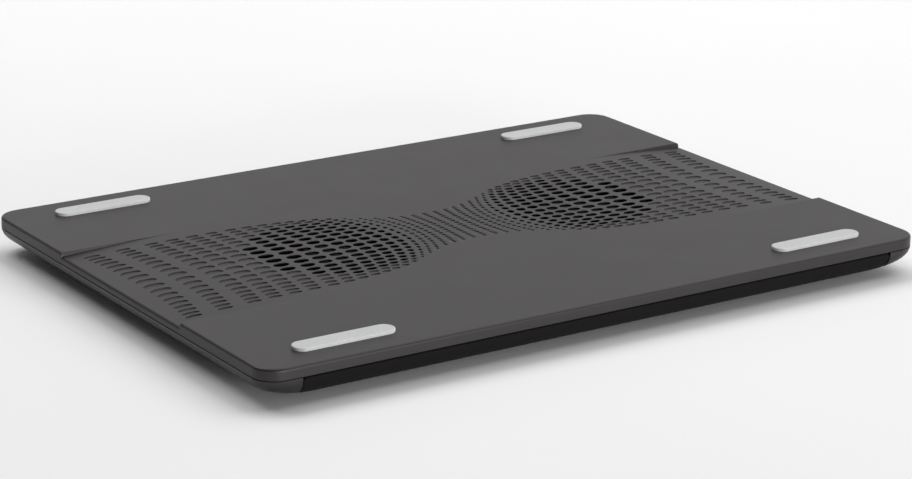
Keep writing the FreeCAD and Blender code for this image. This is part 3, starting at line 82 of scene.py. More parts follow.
# Columns of vents from the middle outwards: crossing of the axis, bow, half depth, vent length.
VENT_COLUMNS = (
    (2.7, 0.4, 21.9, 2.7), (7.9, 1.3, 22.3, 2.6), (12.7, 2.2, 23.3, 2.5), (17.2, 3.5, 24.9, 2.3),
    (21.3, 5.8, 27.4, 2.2), (25.1, 8.3, 30.8, 2.0), (29.7, 10.2, 34.4, 2.0), (35.1, 11.6, 38.0, 3.5),
    (41.3, 11.8, 40.5, 4.8), (48.3, 11.1, 42.2, 5.7), (55.4, 10.1, 43.7, 6.3), (63.2, 8.8, 44.9, 6.7),
    (71.9, 7.4, 46.0, 7.1), (81.2, 6.1, 46.9, 7.5), (90.9, 5.0, 47.5, 7.9), (101.7, 4.4, 47.8, 8.3),
    (112.0, 4.2, 47.9, 8.8), (122.4, 4.3, 48.1, 9.0), (133.2, 4.3, 48.4, 9.2), (148.0, 4.3, 48.7, 9.6),
    (164.0, 4.3, 49.0, 10.6))
COLUMNS = len(VENT_COLUMNS)
COLUMN_AT = [0.0] + [k + 0.5 for k in range(COLUMNS)] + [float(COLUMNS)]
COLUMN_LINES = np.array([(0.0, 0.0, 21.8)] + [line[:3] for line in VENT_COLUMNS] + [(172.2, 4.3, 49.1)])

# The moulded rim of a vent: how far it stands out from the vent's outline, and how deep it lies.
VENT_RIM = ((0.17, 0.0), (0.045, 0.05), (0.0, 0.17))
BLIND_VENT = VENT_RIM + ((-0.02, VENT_DEPTH - 0.14), (-0.13, VENT_DEPTH))
OPEN_VENT = VENT_RIM + ((0.0, GRILLE_THICK),)

# The step beside the centre band: distance from the long middle line, and share of the rise.
STEP = ((57.62, 0.0), (57.86, 0.05), (57.95, 0.2), (58.0, 0.78), (58.07, 0.93), (58.2, 0.99), (58.35, 1.0))

# Meshes: corners closer than this become one, and how much a large face counts in a corner's normal.
MERGE, FACE_WEIGHT = 0.002, 90

# The lap cushion's skin, seen as cloth over foam.
CLOTH_EDGE, CLOTH_DEPTH, CLOTH_GAP = 0.8, 1.9, 0.1
CLOTH_CROWN, CROWN_REACH, WRAPPED_CROWN = 0.45, 5.0, 0.35
CLOTH_CORNER, FOOT_WINDOW, CLOTH_MESH = 2.5, 10.6, 4.0


# ---------------------------------------------------------------- meshes

def within(points, loops):
    """Which points lie inside a region with holes."""
    x, y = np.array(points, float).reshape(-1, 2).T
    inside = np.zeros(len(x), bool)
    for loop in loops:
        for (ax, ay), (bx, by) in zip(loop, loop[1:] + loop[:1]):
            if ay != by:
                inside ^= ((ay > y) != (by > y)) & (x < ax + (y - ay) * (bx - ax) / (by - ay))
    return inside


class Form:
    """Points in millimetres and faces, gathered before they become one mesh."""

    def __init__(self):
        self.points = []
        self.faces = []
        self.flat = []

    def add(self, points, flat=None):
        """Add points, and optionally where each lies on the flattened material."""
        first = len(self.points)
        self.points.extend(tuple(point) for point in points)
        self.flat.extend(flat if flat is not None else [(0.0, 0.0)] * len(points))
        return list(range(first, first + len(points)))

    def rings(self, *loops, closed=True):
        """Quads between successive loops; each next loop lies inside or below the last one."""
        for outer, inner in zip(loops, loops[1:]):
            count = len(outer)
            for k in range(count if closed else count - 1):
                after = (k + 1) % count
                self.faces.append((outer[k], outer[after], inner[after], inner[k]))

    def cap(self, loop, up=True):
        self.faces.append(tuple(loop if up else reversed(loop)))

    def fill(self, loops, lift, up=True, extra=()):
        """Triangles over a region with holes. Each loop is a list of (x, y), lift gives the point."""
        coords, edges = [], []
        for loop in loops:
            first = len(coords)
            coords += [Vector((x, y)) for x, y in loop]
            edges += [(first + k, first + (k + 1) % len(loop)) for k in range(len(loop))]
        coords += [Vector(point) for point, kept in zip(extra, within(extra, loops)) if kept]
        found = delaunay_2d_cdt(coords, edges, [], 1, 1e-5)
        plane = [(v.x, v.y) for v in found[0]]
        ids = self.add([lift(x, y) for x, y in plane], plane)
        middles = [np.mean([plane[k] for k in face], axis=0) for face in found[2]]
        for face, kept in zip(found[2], within(middles, loops)):
            if kept:
                turned = face if up else reversed(face)
                self.faces.append(tuple(ids[k] for k in turned))

    def lathe(self, profile, centre, segments):
        """A closed solid of revolution about Z from an outline of (radius, z)."""
        angles = np.linspace(0, 2 * math.pi, segments, endpoint=False)
        loops = []
        for radius, z in profile:
            loops.append(self.add([(centre[0] + radius * math.cos(a), centre[1] + radius * math.sin(a), z)
                                   for a in angles]))
        self.rings(*loops, loops[0])

    def mesh(self, name, body, material):
        """The gathered form as a piece of the object, riding on a body."""
        data = bpy.data.meshes.new(name)
        data.from_pydata([tuple(c * MM for c in p) for p in self.points], [], self.faces)
        layer = data.uv_layers.new(name="flat")
        corners = np.array([loop.vertex_index for loop in data.loops])
        layer.data.foreach_set("uv", (np.array(self.flat)[corners] * MM).ravel())
        work = bmesh.new()
        work.from_mesh(data)
        bmesh.ops.remove_doubles(work, verts=work.verts, dist=MERGE * MM)
        bmesh.ops.dissolve_degenerate(work, edges=work.edges, dist=MERGE * MM / 4)
        for face in work.faces:
            face.smooth = True
        work.to_mesh(data)
        work.free()
        piece = bpy.data.objects.new(name, data)
        bpy.context.scene.collection.objects.link(piece)
        piece.data.materials.append(material)
        weighted = piece.modifiers.new("weighted_normals", "WEIGHTED_NORMAL")
        weighted.weight = FACE_WEIGHT
        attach(piece, body)
        return piece


def arc(steps):
    return [math.radians(90 * k / steps) for k in range(steps + 1)]


# ---------------------------------------------------------------- materials

def nodes_for(name):
    made = bpy.data.materials.new(name)
    made.use_nodes = True
    tree = made.node_tree
    shader = next(n for n in tree.nodes if n.type == "BSDF_PRINCIPLED")
    return made, tree, shader


def add(tree, kind, **settings):
    node = tree.nodes.new(kind)
    for key, setting in settings.items():
        if key in node.inputs:
            node.inputs[key].default_value = setting
        else:
            setattr(node, key, setting)
    return node


def place(tree, flat=False, stretch=None):
    """Where a point is: on the piece itself, or on its flattened material."""
    if flat:
        out = add(tree, "ShaderNodeUVMap", uv_map="flat").outputs[0]
    else:
        out = add(tree, "ShaderNodeTexCoord").outputs["Object"]
    if stretch is not None:
        mapping = add(tree, "ShaderNodeMapping")
        mapping.inputs["Scale"].default_value = stretch
        tree.links.new(out, mapping.inputs["Vector"])
        out = mapping.outputs[0]
    return out


def noise(tree, where, size_mm, detail=2.0, rough=0.5):
    node = add(tree, "ShaderNodeTexNoise", Scale=1 / (size_mm * MM), Detail=detail, Roughness=rough)
    tree.links.new(where, node.inputs["Vector"])
    return node.outputs[0]


def span(tree, source, low, high, start=0.3, end=0.7):
    """A noise value stretched over a range."""
    node = add(tree, "ShaderNodeMapRange")
    for key, setting in (("From Min", start), ("From Max", end), ("To Min", low), ("To Max", high)):
        node.inputs[key].default_value = setting
    tree.links.new(source, node.inputs["Value"])
    return node.outputs[0]


def blend(tree, factor, first, second):
    """A colour between two, by a factor."""
    node = add(tree, "ShaderNodeMix", data_type="RGBA")
    tree.links.new(factor, node.inputs[0])
    for socket, colour in ((node.inputs[6], first), (node.inputs[7], second)):
        if isinstance(colour, bpy.types.NodeSocket):
            tree.links.new(colour, socket)
        else:
            socket.default_value = (*colour, 1)
    return node.outputs[2]


def bump(tree, height, depth_mm, strength=1.0, under=None):
    node = add(tree, "ShaderNodeBump", Strength=strength, Distance=depth_mm * MM)
    tree.links.new(height, node.inputs["Height"])
    if under is not None:
        tree.links.new(under, node.inputs["Normal"])
    return node.outputs[0]


def moulded(name, dark, light, rough, grain_mm=0.45, depth_mm=0.012, patch_mm=26.0, level=0.5,
            round_mm=0.0, metallic=0.0, scratch=None):
    """Moulded plastic, rubber or metal: eroded grain, slow colour drift and uneven gloss."""
    made, tree, shader = nodes_for(name)
    where = place(tree)
    patch = noise(tree, where, patch_mm, 4.0, 0.6)
    grain = noise(tree, where, grain_mm, 3.0, 0.6)
    drift = span(tree, patch, 0.0, 1.0)
    speck = span(tree, grain, 0.0, 1.0)
    mixed = blend(tree, drift, dark, light)
    shade = blend(tree, speck, [c * 0.9 for c in dark], [c * 1.08 for c in light])
    half = add(tree, "ShaderNodeMix", data_type="RGBA")
    half.inputs[0].default_value = 0.5
    tree.links.new(mixed, half.inputs[6])
    tree.links.new(shade, half.inputs[7])
    tree.links.new(half.outputs[2], shader.inputs["Base Color"])
    tree.links.new(span(tree, patch, rough * 0.97, rough * 1.04), shader.inputs["Roughness"])
    shader.inputs["Metallic"].default_value = metallic
    shader.inputs["Specular IOR Level"].default_value = level
    under = None
    if round_mm:
        rounded = add(tree, "ShaderNodeBevel", samples=4)
        rounded.inputs["Radius"].default_value = round_mm * MM
        under = rounded.outputs[0]
    if scratch is not None:
        lines = noise(tree, place(tree, stretch=scratch), 1.0, 2.0)
        under = bump(tree, lines, depth_mm, 0.5, under)
    tree.links.new(bump(tree, grain, depth_mm, 1.0, under), shader.inputs["Normal"])
    return made


def neoprene():
    """Black neoprene with a fine knitted face: staggered loops a little over a millimetre apart, with
    painted shade in the gaps between them.
    """
    made, tree, shader = nodes_for("neoprene")
    flat = place(tree, flat=True)
    loops = add(tree, "ShaderNodeTexVoronoi", Scale=1 / (1.25 * MM), Randomness=0.35,
                voronoi_dimensions="2D")
    tree.links.new(flat, loops.inputs["Vector"])
    fuzz = noise(tree, flat, 0.35, 3.0, 0.7)
    patch = noise(tree, flat, 30.0, 4.0, 0.6)
    cell = span(tree, loops.outputs["Distance"], 1.0, 0.0, 0.0, 0.75)
    # Painted shade: the thread's colour darkens towards each loop's edge, in the gaps between loops, and is
    # lighter on the loop's crown.
    thread_and_gap_shade = blend(tree, cell, (0.0027, 0.0027, 0.0028), (0.0074, 0.0072, 0.0074))
    worn = blend(tree, span(tree, patch, 0.0, 1.0), (0.0040, 0.0040, 0.0041), (0.0068, 0.0066, 0.0068))
    half = add(tree, "ShaderNodeMix", data_type="RGBA")
    half.inputs[0].default_value = 0.4
    tree.links.new(thread_and_gap_shade, half.inputs[6])
    tree.links.new(worn, half.inputs[7])
    tree.links.new(half.outputs[2], shader.inputs["Base Color"])
    tree.links.new(span(tree, patch, 0.74, 0.88), shader.inputs["Roughness"])
    shader.inputs["Sheen Weight"].default_value = 0.02
    shader.inputs["Sheen Roughness"].default_value = 0.45
    shader.inputs["Specular IOR Level"].default_value = 0.12
    woven = bump(tree, cell, 0.12, 0.8)
    tree.links.new(bump(tree, fuzz, 0.05, 0.7, woven), shader.inputs["Normal"])
    return made


def board():
    """Circuit board: solder mask over copper traces and pads."""
    made, tree, shader = nodes_for("circuit_board")
    where = place(tree)
    bricks = add(tree, "ShaderNodeTexBrick", Scale=1 / (6.0 * MM), offset=0.37, squash=1.6)
    bricks.inputs["Mortar Size"].default_value = 0.035
    tree.links.new(where, bricks.inputs["Vector"])
    dots = add(tree, "ShaderNodeTexVoronoi", Scale=1 / (2.4 * MM), Randomness=0.6)
    tree.links.new(where, dots.inputs["Vector"])
    trace = bricks.outputs["Fac"]
    pad = span(tree, dots.outputs["Distance"], 1.0, 0.0, 0.16, 0.2)
    mask = blend(tree, trace, (0.010, 0.055, 0.026), (0.018, 0.105, 0.05))
    tree.links.new(blend(tree, pad, mask, (0.62, 0.55, 0.40)), shader.inputs["Base Color"])
    tree.links.new(span(tree, noise(tree, where, 3.0), 0.32, 0.45), shader.inputs["Roughness"])
    tree.links.new(bump(tree, trace, 0.05, 0.8), shader.inputs["Normal"])
    return made


def winding():
    """Enamelled copper wire, wound round each stator arm, with painted shade in the grooves between turns.
    """
    made, tree, shader = nodes_for("copper_wire")
    where = place(tree)
    turns = add(tree, "ShaderNodeTexWave", Scale=1 / (2.2 * MM), wave_type="BANDS",
                bands_direction="DIAGONAL")
    tree.links.new(where, turns.inputs["Vector"])
    # Painted shade: the copper's colour darkens towards the grooves between turns, where the bump sinks.
    tree.links.new(blend(tree, turns.outputs["Fac"], (0.24, 0.07, 0.02), (0.78, 0.33, 0.13)),
                   shader.inputs["Base Color"])
    shader.inputs["Metallic"].default_value = 0.9
    tree.links.new(span(tree, noise(tree, where, 2.0), 0.28, 0.4), shader.inputs["Roughness"])
    tree.links.new(bump(tree, turns.outputs["Fac"], 0.12), shader.inputs["Normal"])
    return made


MATERIALS = {
    "deck_plastic": moulded("deck_plastic", (0.0200, 0.0158, 0.0185), (0.0235, 0.0190, 0.0220), 0.42,
                            grain_mm=0.4, depth_mm=0.010, level=0.35),
    "shell_plastic": moulded("shell_plastic", (0.0150, 0.0125, 0.0142), (0.0185, 0.0156, 0.0176), 0.36,
                             grain_mm=0.5, depth_mm=0.008, level=0.4, round_mm=0.25),
    "neoprene": neoprene(),
    "pale_rubber": moulded("pale_rubber", (0.54, 0.55, 0.545), (0.60, 0.61, 0.605), 0.5, grain_mm=0.6,
                           depth_mm=0.02, patch_mm=14.0),
    "black_rubber": moulded("black_rubber", (0.011, 0.011, 0.011), (0.021, 0.0205, 0.020), 0.62,
                            grain_mm=0.7, depth_mm=0.04, patch_mm=6.0, level=0.4),
    "screw_steel": moulded("screw_steel", (0.40, 0.40, 0.41), (0.58, 0.575, 0.57), 0.3, grain_mm=0.3,
                           depth_mm=0.01, patch_mm=1.5, metallic=1.0, round_mm=0.15,
                           scratch=(9.0, 900.0, 9.0)),
    "plated_shell": moulded("plated_shell", (0.52, 0.51, 0.49), (0.68, 0.66, 0.63), 0.24, grain_mm=0.2,
                            depth_mm=0.004, patch_mm=3.0, metallic=1.0, round_mm=0.1,
                            scratch=(900.0, 20.0, 900.0)),
    "inlet_plastic": moulded("inlet_plastic", (0.012, 0.012, 0.013), (0.020, 0.020, 0.021), 0.4,
                             grain_mm=0.3),
    "contact_gold": moulded("contact_gold", (0.72, 0.50, 0.18), (0.86, 0.63, 0.28), 0.22, grain_mm=0.2,
                            depth_mm=0.003, patch_mm=2.0, metallic=1.0),
    "circuit_board": board(),
    "chip_plastic": moulded("chip_plastic", (0.016, 0.016, 0.017), (0.030, 0.030, 0.031), 0.5,
                            grain_mm=0.25, depth_mm=0.01, round_mm=0.1),
    "fan_plastic": moulded("fan_plastic", (0.005, 0.005, 0.0052), (0.009, 0.0088, 0.009), 0.5,
                           grain_mm=0.5, depth_mm=0.012, level=0.25, round_mm=0.25),
    "impeller_plastic": moulded("impeller_plastic", (0.006, 0.0052, 0.0055), (0.011, 0.0098, 0.0102), 0.5,
                                grain_mm=0.6, depth_mm=0.008, level=0.15, round_mm=0.2),
    "rotor_steel": moulded("rotor_steel", (0.36, 0.36, 0.37), (0.50, 0.50, 0.50), 0.34, grain_mm=0.3,
                           depth_mm=0.006, metallic=1.0),
    "magnet": moulded("magnet", (0.035, 0.034, 0.034), (0.06, 0.058, 0.057), 0.6, grain_mm=0.3,
                      depth_mm=0.02),
    "shaft_steel": moulded("shaft_steel", (0.60, 0.60, 0.60), (0.72, 0.72, 0.71), 0.18, grain_mm=0.2,
                           depth_mm=0.003, metallic=1.0),
    "bronze": moulded("bronze", (0.42, 0.26, 0.12), (0.56, 0.36, 0.18), 0.4, grain_mm=0.25, depth_mm=0.015,
                      metallic=1.0),
    "white_plastic": moulded("white_plastic", (0.66, 0.65, 0.61), (0.76, 0.75, 0.71), 0.42, grain_mm=0.4,
                             depth_mm=0.008, round_mm=0.12),
    "core_steel": moulded("core_steel", (0.20, 0.20, 0.21), (0.34, 0.34, 0.34), 0.4, grain_mm=0.3,
                          depth_mm=0.02, metallic=1.0, scratch=(30.0, 30.0, 2200.0)),
    "copper_wire": winding(),
    "red_lead": moulded("red_lead", (0.40, 0.018, 0.014), (0.52, 0.03, 0.022), 0.42, grain_mm=0.4,
                        depth_mm=0.006, patch_mm=9.0),
    "black_lead": moulded("black_lead", (0.010, 0.010, 0.010), (0.018, 0.018, 0.018), 0.42, grain_mm=0.4,
                          depth_mm=0.006, patch_mm=9.0),
}

SLOTS = (
    ("top_cover", "deck_plastic"), ("bottom_shell", "shell_plastic"), ("lap_cushion", "neoprene"),
    ("grip_strip", "pale_rubber"), ("rubber_foot", "black_rubber"), ("case_screws", "screw_steel"),
    ("board_screws", "screw_steel"), ("fan_screws", "screw_steel"), ("power_inlet_shell", "plated_shell"),
    ("power_inlet_tongue", "inlet_plastic"), ("power_inlet_contacts", "contact_gold"),
    ("control_board", "circuit_board"), ("fan_board", "circuit_board"),
    ("board_components", "chip_plastic"),
    ("fan_frame", "fan_plastic"), ("impeller", "impeller_plastic"), ("rotor_cup", "rotor_steel"),
    ("rotor_magnet", "magnet"), ("fan_shaft", "shaft_steel"), ("sleeve_bearing", "bronze"),
    ("thrust_pad", "white_plastic"), ("lead_header", "white_plastic"), ("lead_plug", "white_plastic"),
    ("stator_core", "core_steel"), ("stator_coils", "copper_wire"), ("fan_lead_red", "red_lead"),
    ("fan_lead_black", "black_lead"),
)

for name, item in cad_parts.items():
    slot_name = next(slot for prefix, slot in SLOTS if name.startswith(prefix))
    item.data.materials.clear()
    item.data.materials.append(MATERIALS[slot_name])


# ---------------------------------------------------------------- deck

def dip(x):
    """How far the centre band lies under the deck at a distance from the middle."""
    past = max(0.0, abs(x) - BAND_FADE)
    return BAND_RADIUS - math.sqrt(BAND_RADIUS ** 2 - past ** 2)


def top(x, y):
    """Height of the deck: flat, with the band dipping towards the short sides."""
    y = abs(y)
    share = np.interp(y, [at for at, _ in STEP], [rise for _, rise in STEP])
    return DECK - dip(x) * (1 - share)


def column_line(n):
    """Crossing of the axis, bow and half depth of the vent field's line at a column number."""
    return [float(np.interp(abs(n), COLUMN_AT, COLUMN_LINES[:, k])) for k in range(3)]


def row_rise(m):
    return (ROW_PITCH * m - ROW_CLOSING / 2 * m ** 2) / ROW_REACH


def lattice(n, v):
    """A point of the vent field from its column and row numbers, negative to the left and front."""
    x, bow, half = column_line(n)
    rise = row_rise(abs(v))
    x += bow * rise ** 2
    return math.copysign(x, n) if n else 0.0, math.copysign(rise * half, v) if v else 0.0


def vent(n, v):
    """Middle and half sizes of the vent at column and row n, v."""
    x, y = lattice(n, v)
    _, _, half, full_length = VENT_COLUMNS[int(abs(n))]
    m = abs(v)
    length = full_length * (1 - VENT_SHORTEN * row_rise(m) ** 2)
    width = VENT_SQUAT * (ROW_PITCH - ROW_CLOSING * m) / ROW_REACH * half
    return x, y, length / 2, width / 2


def is_open(c, r):
    """Whether the vent of a cell goes through."""
    x, y, _, _ = vent(c + 0.5, r + 0.5)
    return abs(r + 0.5) < OPEN_ROWS and math.hypot(abs(x) - FAN_X, y) < OPEN_RADIUS


def cell_loop(c, r):
    """The outline of one vent's share of the deck, anticlockwise from its low corner."""
    steps = [k / SUB for k in range(SUB)]
    loop = [lattice(c + s, r) for s in steps]
    loop += [lattice(c + 1, r + s) for s in steps]
    loop += [lattice(c + 1 - s, r + 1) for s in steps]
    loop += [lattice(c, r + 1 - s) for s in steps]
    return loop


def vent_cells(form):
    """The deck over the vent field, one cell round each vent, and the ceiling under it."""
    for c in range(-COLUMNS, COLUMNS):
        for r in range(-ROWS, ROWS):
            outline = cell_loop(c, r)
            x, y, a, b = vent(c + 0.5, r + 0.5)
            through_here = is_open(c, r)
            turns = [math.atan2((py - y) / b, (px - x) / a) for px, py in outline]
            loops = [form.add([(px, py, top(px, py)) for px, py in outline])]
            for grow, deep in (OPEN_VENT if through_here else BLIND_VENT):
                ring = [(x + (a + grow) * math.cos(t), y + (b + grow) * math.sin(t)) for t in turns]
                loops.append(form.add([(px, py, top(px, py) - deep) for px, py in ring]))
            form.rings(*loops)
            if not through_here:
                form.cap(loops[-1])
                under = [(px, py, top(px, py) - DECK_THICK) for px, py in outline[::SUB]]
                form.cap(form.add(under), up=False)
                continue
            ceiling = form.add([(px, py, top(px, py) - GRILLE_THICK) for px, py in outline])
            form.rings(loops[-1], ceiling)
            for side, beside in enumerate(((c, r - 1), (c + 1, r), (c, r + 1), (c - 1, r))):
                if is_open(*beside):
                    continue
                run = [(side * SUB + k) % len(outline) for k in range(SUB + 1)]
                step = form.add([(*outline[k], top(*outline[k]) - DECK_THICK) for k in run])
                form.rings([ceiling[k] for k in run], step, closed=False)


def side_stations():
    """Distances from the pad's long middle line at which the deck's mesh has lines at its short sides."""
    edge = [lattice(COLUMNS, k / SUB)[1] for k in range(ROWS * SUB + 1)]
    return edge + [(edge[-1] + STEP[0][0]) / 2] + [at for at, _ in STEP]


def sheet(form, grid, up=True):
    """A grid of points, rows of equal length, as quads."""
    rows = [form.add(row) for row in grid]
    for lower, upper in zip(rows, rows[1:]):
        for k in range(len(lower) - 1):
            quad = (lower[k], lower[k + 1], upper[k + 1], upper[k])
            form.faces.append(quad if up else quad[::-1])


def band_margins(form):
    """The deck round the vent field, as far as the flat panels and the round edge."""
    side = HALF_X - EDGE
    numbers = [k / SUB for k in range(-COLUMNS * SUB, COLUMNS * SUB + 1)]
    for end in (-1, 1):
        line = [lattice(n, end * ROWS) for n in numbers]
        line = [(-side, line[0][1])] + line + [(side, line[-1][1])]
        rows = []
        for share in (0, 0.5, 1):
            rows.append([(x, y + share * (end * STEP[0][0] - y)) for x, y in line])
        rows += [[(x, end * at) for x, _ in line] for at, _ in STEP[1:]]
        for drop, used in ((0.0, rows), (DECK_THICK, rows[::2])):
            grid = [[(x, y, top(x, y) - drop) for x, y in row] for row in used]
            sheet(form, grid, up=(end > 0) == (drop == 0))
    marks = [k / SUB for k in range(-ROWS * SUB, ROWS * SUB + 1)]
    for sign in (-1, 1):
        inner = [lattice(sign * COLUMNS, v) for v in marks]
        outer = [(sign * side, y) for _, y in inner]
        for drop in (0.0, DECK_THICK):
            grid = [[(x, y, top(x, y) - drop) for x, y in line] for line in (inner, outer)]
            sheet(form, grid, up=(sign < 0) == (drop == 0))


def cover_outline():
    """The plan of the cover, anticlockwise: points, outward directions and whether the inlet follows."""
    stations = side_stations() + [80.0, 105.0]
    stations = sorted({round(s * y, 5) for y in stations for s in (-1, 1)})
    port = [INLET_LOW[0] - PORT_PLAY, INLET_HIGH[0] + PORT_PLAY]
    across = sorted([-150.0, -120.0, -90.0, -60.0, -30.0, 0.0, 30.0, 60.0, 150.0, *port])
    flat_x, flat_y = HALF_X - CORNER, HALF_Y - CORNER
    points = []

    def corner(sx, sy, first):
        for k in range(13):
            turn = math.radians(first + 90 * k / 12)
            out = (math.cos(turn), math.sin(turn))
            points.append((sx * flat_x + CORNER * out[0], sy * flat_y + CORNER * out[1], *out, False))

    points += [(HALF_X, y, 1.0, 0.0, False) for y in stations]
    corner(1, 1, 0)
    points += [(x, HALF_Y, 0.0, 1.0, x == port[1]) for x in reversed(across)]
    corner(-1, 1, 90)
    points += [(-HALF_X, y, -1.0, 0.0, False) for y in reversed(stations)]
    corner(-1, -1, 180)
    points += [(x, -HALF_Y, 0.0, -1.0, False) for x in across if x not in port]
    corner(1, -1, 270)
    return points


def inset(point, amount):
    x, y, out_x, out_y, _ = point
    return x - out_x * amount, y - out_y * amount


def cover_edge(form, outline):
    """The round edge, the lip, the groove at the parting line, and the lip's inner side."""
    port_top = DECK - DECK_THICK
    profile = [(EDGE * (1 - math.sin(t)), "deck", EDGE * (1 - math.cos(t))) for t in arc(6)]
    profile += [(0.0, "port", 0.0), (0.0, "level", PARTING + 0.5), (0.05, "level", PARTING + 0.36),
                (0.2, "level", PARTING + 0.26), (0.6, "level", PARTING + 0.24), (0.6, "level", PARTING),
                (COVER_WALL, "level", PARTING), (COVER_WALL, "deck", DECK_THICK)]
    rows = []
    for amount, kind, size in profile:
        row = []
        for point in outline:
            x, y = inset(point, amount)
            local = top(x, y)
            z = local - size if kind == "deck" else size
            if kind == "port":
                z = min(port_top, local - EDGE - 0.05)
            row.append((x, y, z))
        rows.append(form.add(row))
    count = len(outline)
    port_row = next(k for k, part in enumerate(profile) if part[1] == "port")
    for k in range(count):
        after = (k + 1) % count
        is_port = outline[k][4]
        for index, (upper, lower) in enumerate(zip(rows, rows[1:])):
            if is_port and index >= port_row:
                continue
            form.faces.append((lower[k], lower[after], upper[after], upper[k]))
        if is_port:
            tall = [row[k] for row in rows[port_row:]]
            form.faces.append(tuple(tall))
            form.faces.append(tuple(row[after] for row in reversed(rows[port_row:])))
            form.faces.append((rows[port_row][k], rows[-1][k], rows[-1][after], rows[port_row][after]))


def flat_panels(form, outline):
    """The plain front and rear parts of the deck, and the ceiling under them."""
    numbers = [k / SUB for k in range(-COLUMNS * SUB, COLUMNS * SUB + 1)]
    start = STEP[-1][0]
    for end in (-1, 1):
        line = [lattice(n, end * ROWS)[0] for n in numbers]
        for amount, drop in ((EDGE, 0.0), (COVER_WALL, DECK_THICK)):
            side = HALF_X - amount
            ring = [inset(p, amount) for p in outline if end * p[1] > start + 1e-3]
            if end > 0:
                loop = [(side, start)] + ring + [(-side, start)] + [(x, start) for x in line]
            else:
                ring = sorted(ring, key=lambda p: math.atan2(p[1], p[0]) % (2 * math.pi))
                loop = [(-side, -start)] + ring + [(side, -start)] + [(x, -start) for x in reversed(line)]
            form.fill([loop], lambda x, y, d=drop: (x, y, DECK - d), up=drop == 0)


def deck():
    form = Form()
    outline = cover_outline()
    vent_cells(form)
    band_margins(form)
    cover_edge(form, outline)
    flat_panels(form, outline)
    inner, outer = DUCT_RADIUS, DUCT_RADIUS + DUCT_WALL
    foot, head = FAN_TOP + DUCT_GAP, DECK - DECK_THICK
    for sign in (-1, 1):
        form.lathe([(outer, head), (outer, foot + 0.2), (outer - 0.2, foot), (inner + 0.2, foot),
                    (inner, foot + 0.2), (inner, head)], (sign * FAN_X, 0), 96)
    piece = form.mesh("deck", "casing", MATERIALS["deck_plastic"])
    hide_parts("top_cover")


# ---------------------------------------------------------------- lap cushion

def hull(x, turn, deep):
    """The front of the underside form at x: (y, z), from the parting line (0) to the flat (90 degrees)."""
    drawn = 1 - math.cos(turn)
    half_x = HALF_X - deep - (SIDE_RUN - deep) * drawn
    half_y = HALF_Y - deep - (END_RUN - deep) * drawn
    radius = CORNER - deep + (BASE_ROUND - CORNER + deep) * drawn
    past = max(0.0, abs(x) - (half_x - radius))
    y = -(half_y - radius + math.sqrt(max(0.0, radius ** 2 - min(past, radius) ** 2)))
    return y, PARTING - (PARTING - UNDERSIDE - deep) * math.sin(turn)


HALF_PI = math.pi / 2
TOP_TURN = math.asin((PARTING - CUSHION_HIGH[2]) / (PARTING - UNDERSIDE))
TURNS = np.linspace(TOP_TURN, HALF_PI, 40)
PROFILE = [hull(0.0, turn, 0.0) for turn in TURNS]
RUN = np.concatenate([[0.0], np.cumsum([math.dist(p, q) for p, q in zip(PROFILE, PROFILE[1:])])])
CUSHION_REAR = CUSHION_HIGH[1]
FLAT_RUN = CUSHION_REAR - PROFILE[-1][0]


def cushion_point(x, s, deep):
    """A point of the cushion: x, distance from its front edge along its face, depth below the face."""
    if s <= RUN[-1]:
        y, z = hull(x, float(np.interp(s, RUN, TURNS)), deep)
        return x, y, z
    start, _ = hull(x, HALF_PI, 0.0)
    share = (s - RUN[-1]) / FLAT_RUN
    return x, start + share * (CUSHION_REAR - start), UNDERSIDE + deep


def along(x, y):
    """The distance along the face of a point on the flat underside."""
    start, _ = hull(x, HALF_PI, 0.0)
    return RUN[-1] + (y - start) / (CUSHION_REAR - start) * FLAT_RUN


def round_rectangle(cx, cy, half_x, half_y, radius, steps=10):
    loop = []
    for index, (sx, sy) in enumerate(((1, 1), (-1, 1), (-1, -1), (1, -1))):
        for k in range(steps + 1):
            turn = math.radians(90 * index + 90 * k / steps)
            loop.append((cx + sx * (half_x - radius) + radius * math.cos(turn),
                         cy + sy * (half_y - radius) + radius * math.sin(turn)))
    return loop


def split(loop, longest=5.0):
    """The same outline with its long runs divided."""
    out = []
    for k, (x, y) in enumerate(loop):
        nx, ny = loop[(k + 1) % len(loop)]
        parts = max(1, math.ceil(math.hypot(nx - x, ny - y) / longest))
        out += [(x + (nx - x) * i / parts, y + (ny - y) * i / parts) for i in range(parts)]
    return out


def cushion_outlines(amount):
    """The cushion's border and its windows on the flattened face, drawn into the cushion by amount."""
    half, total = CUSHION_HIGH[0] - CLOTH_GAP, RUN[-1] + FLAT_RUN - CLOTH_GAP
    border = round_rectangle(0, total / 2, half - amount, total / 2 - amount, CLOTH_CORNER - amount, 6)
    windows = []
    for sign in (-1, 1):
        well_half = WELL_HALF + CLOTH_GAP + amount
        well = round_rectangle(sign * FAN_X, 0, well_half, well_half, WELL_ROUND + amount)
        low, high = box_mm("rubber_foot_front_" + ("left" if sign < 0 else "right"))
        middle = (low + high) / 2
        reach = FOOT_WINDOW + amount
        circle = [(middle[0] + reach * math.cos(a), middle[1] + reach * math.sin(a))
                  for a in np.linspace(0, 2 * math.pi, 48, endpoint=False)]
        windows += [[(x, along(x, y)) for x, y in split(well)], [(x, along(x, y)) for x, y in circle]]
    return [split(border)] + windows


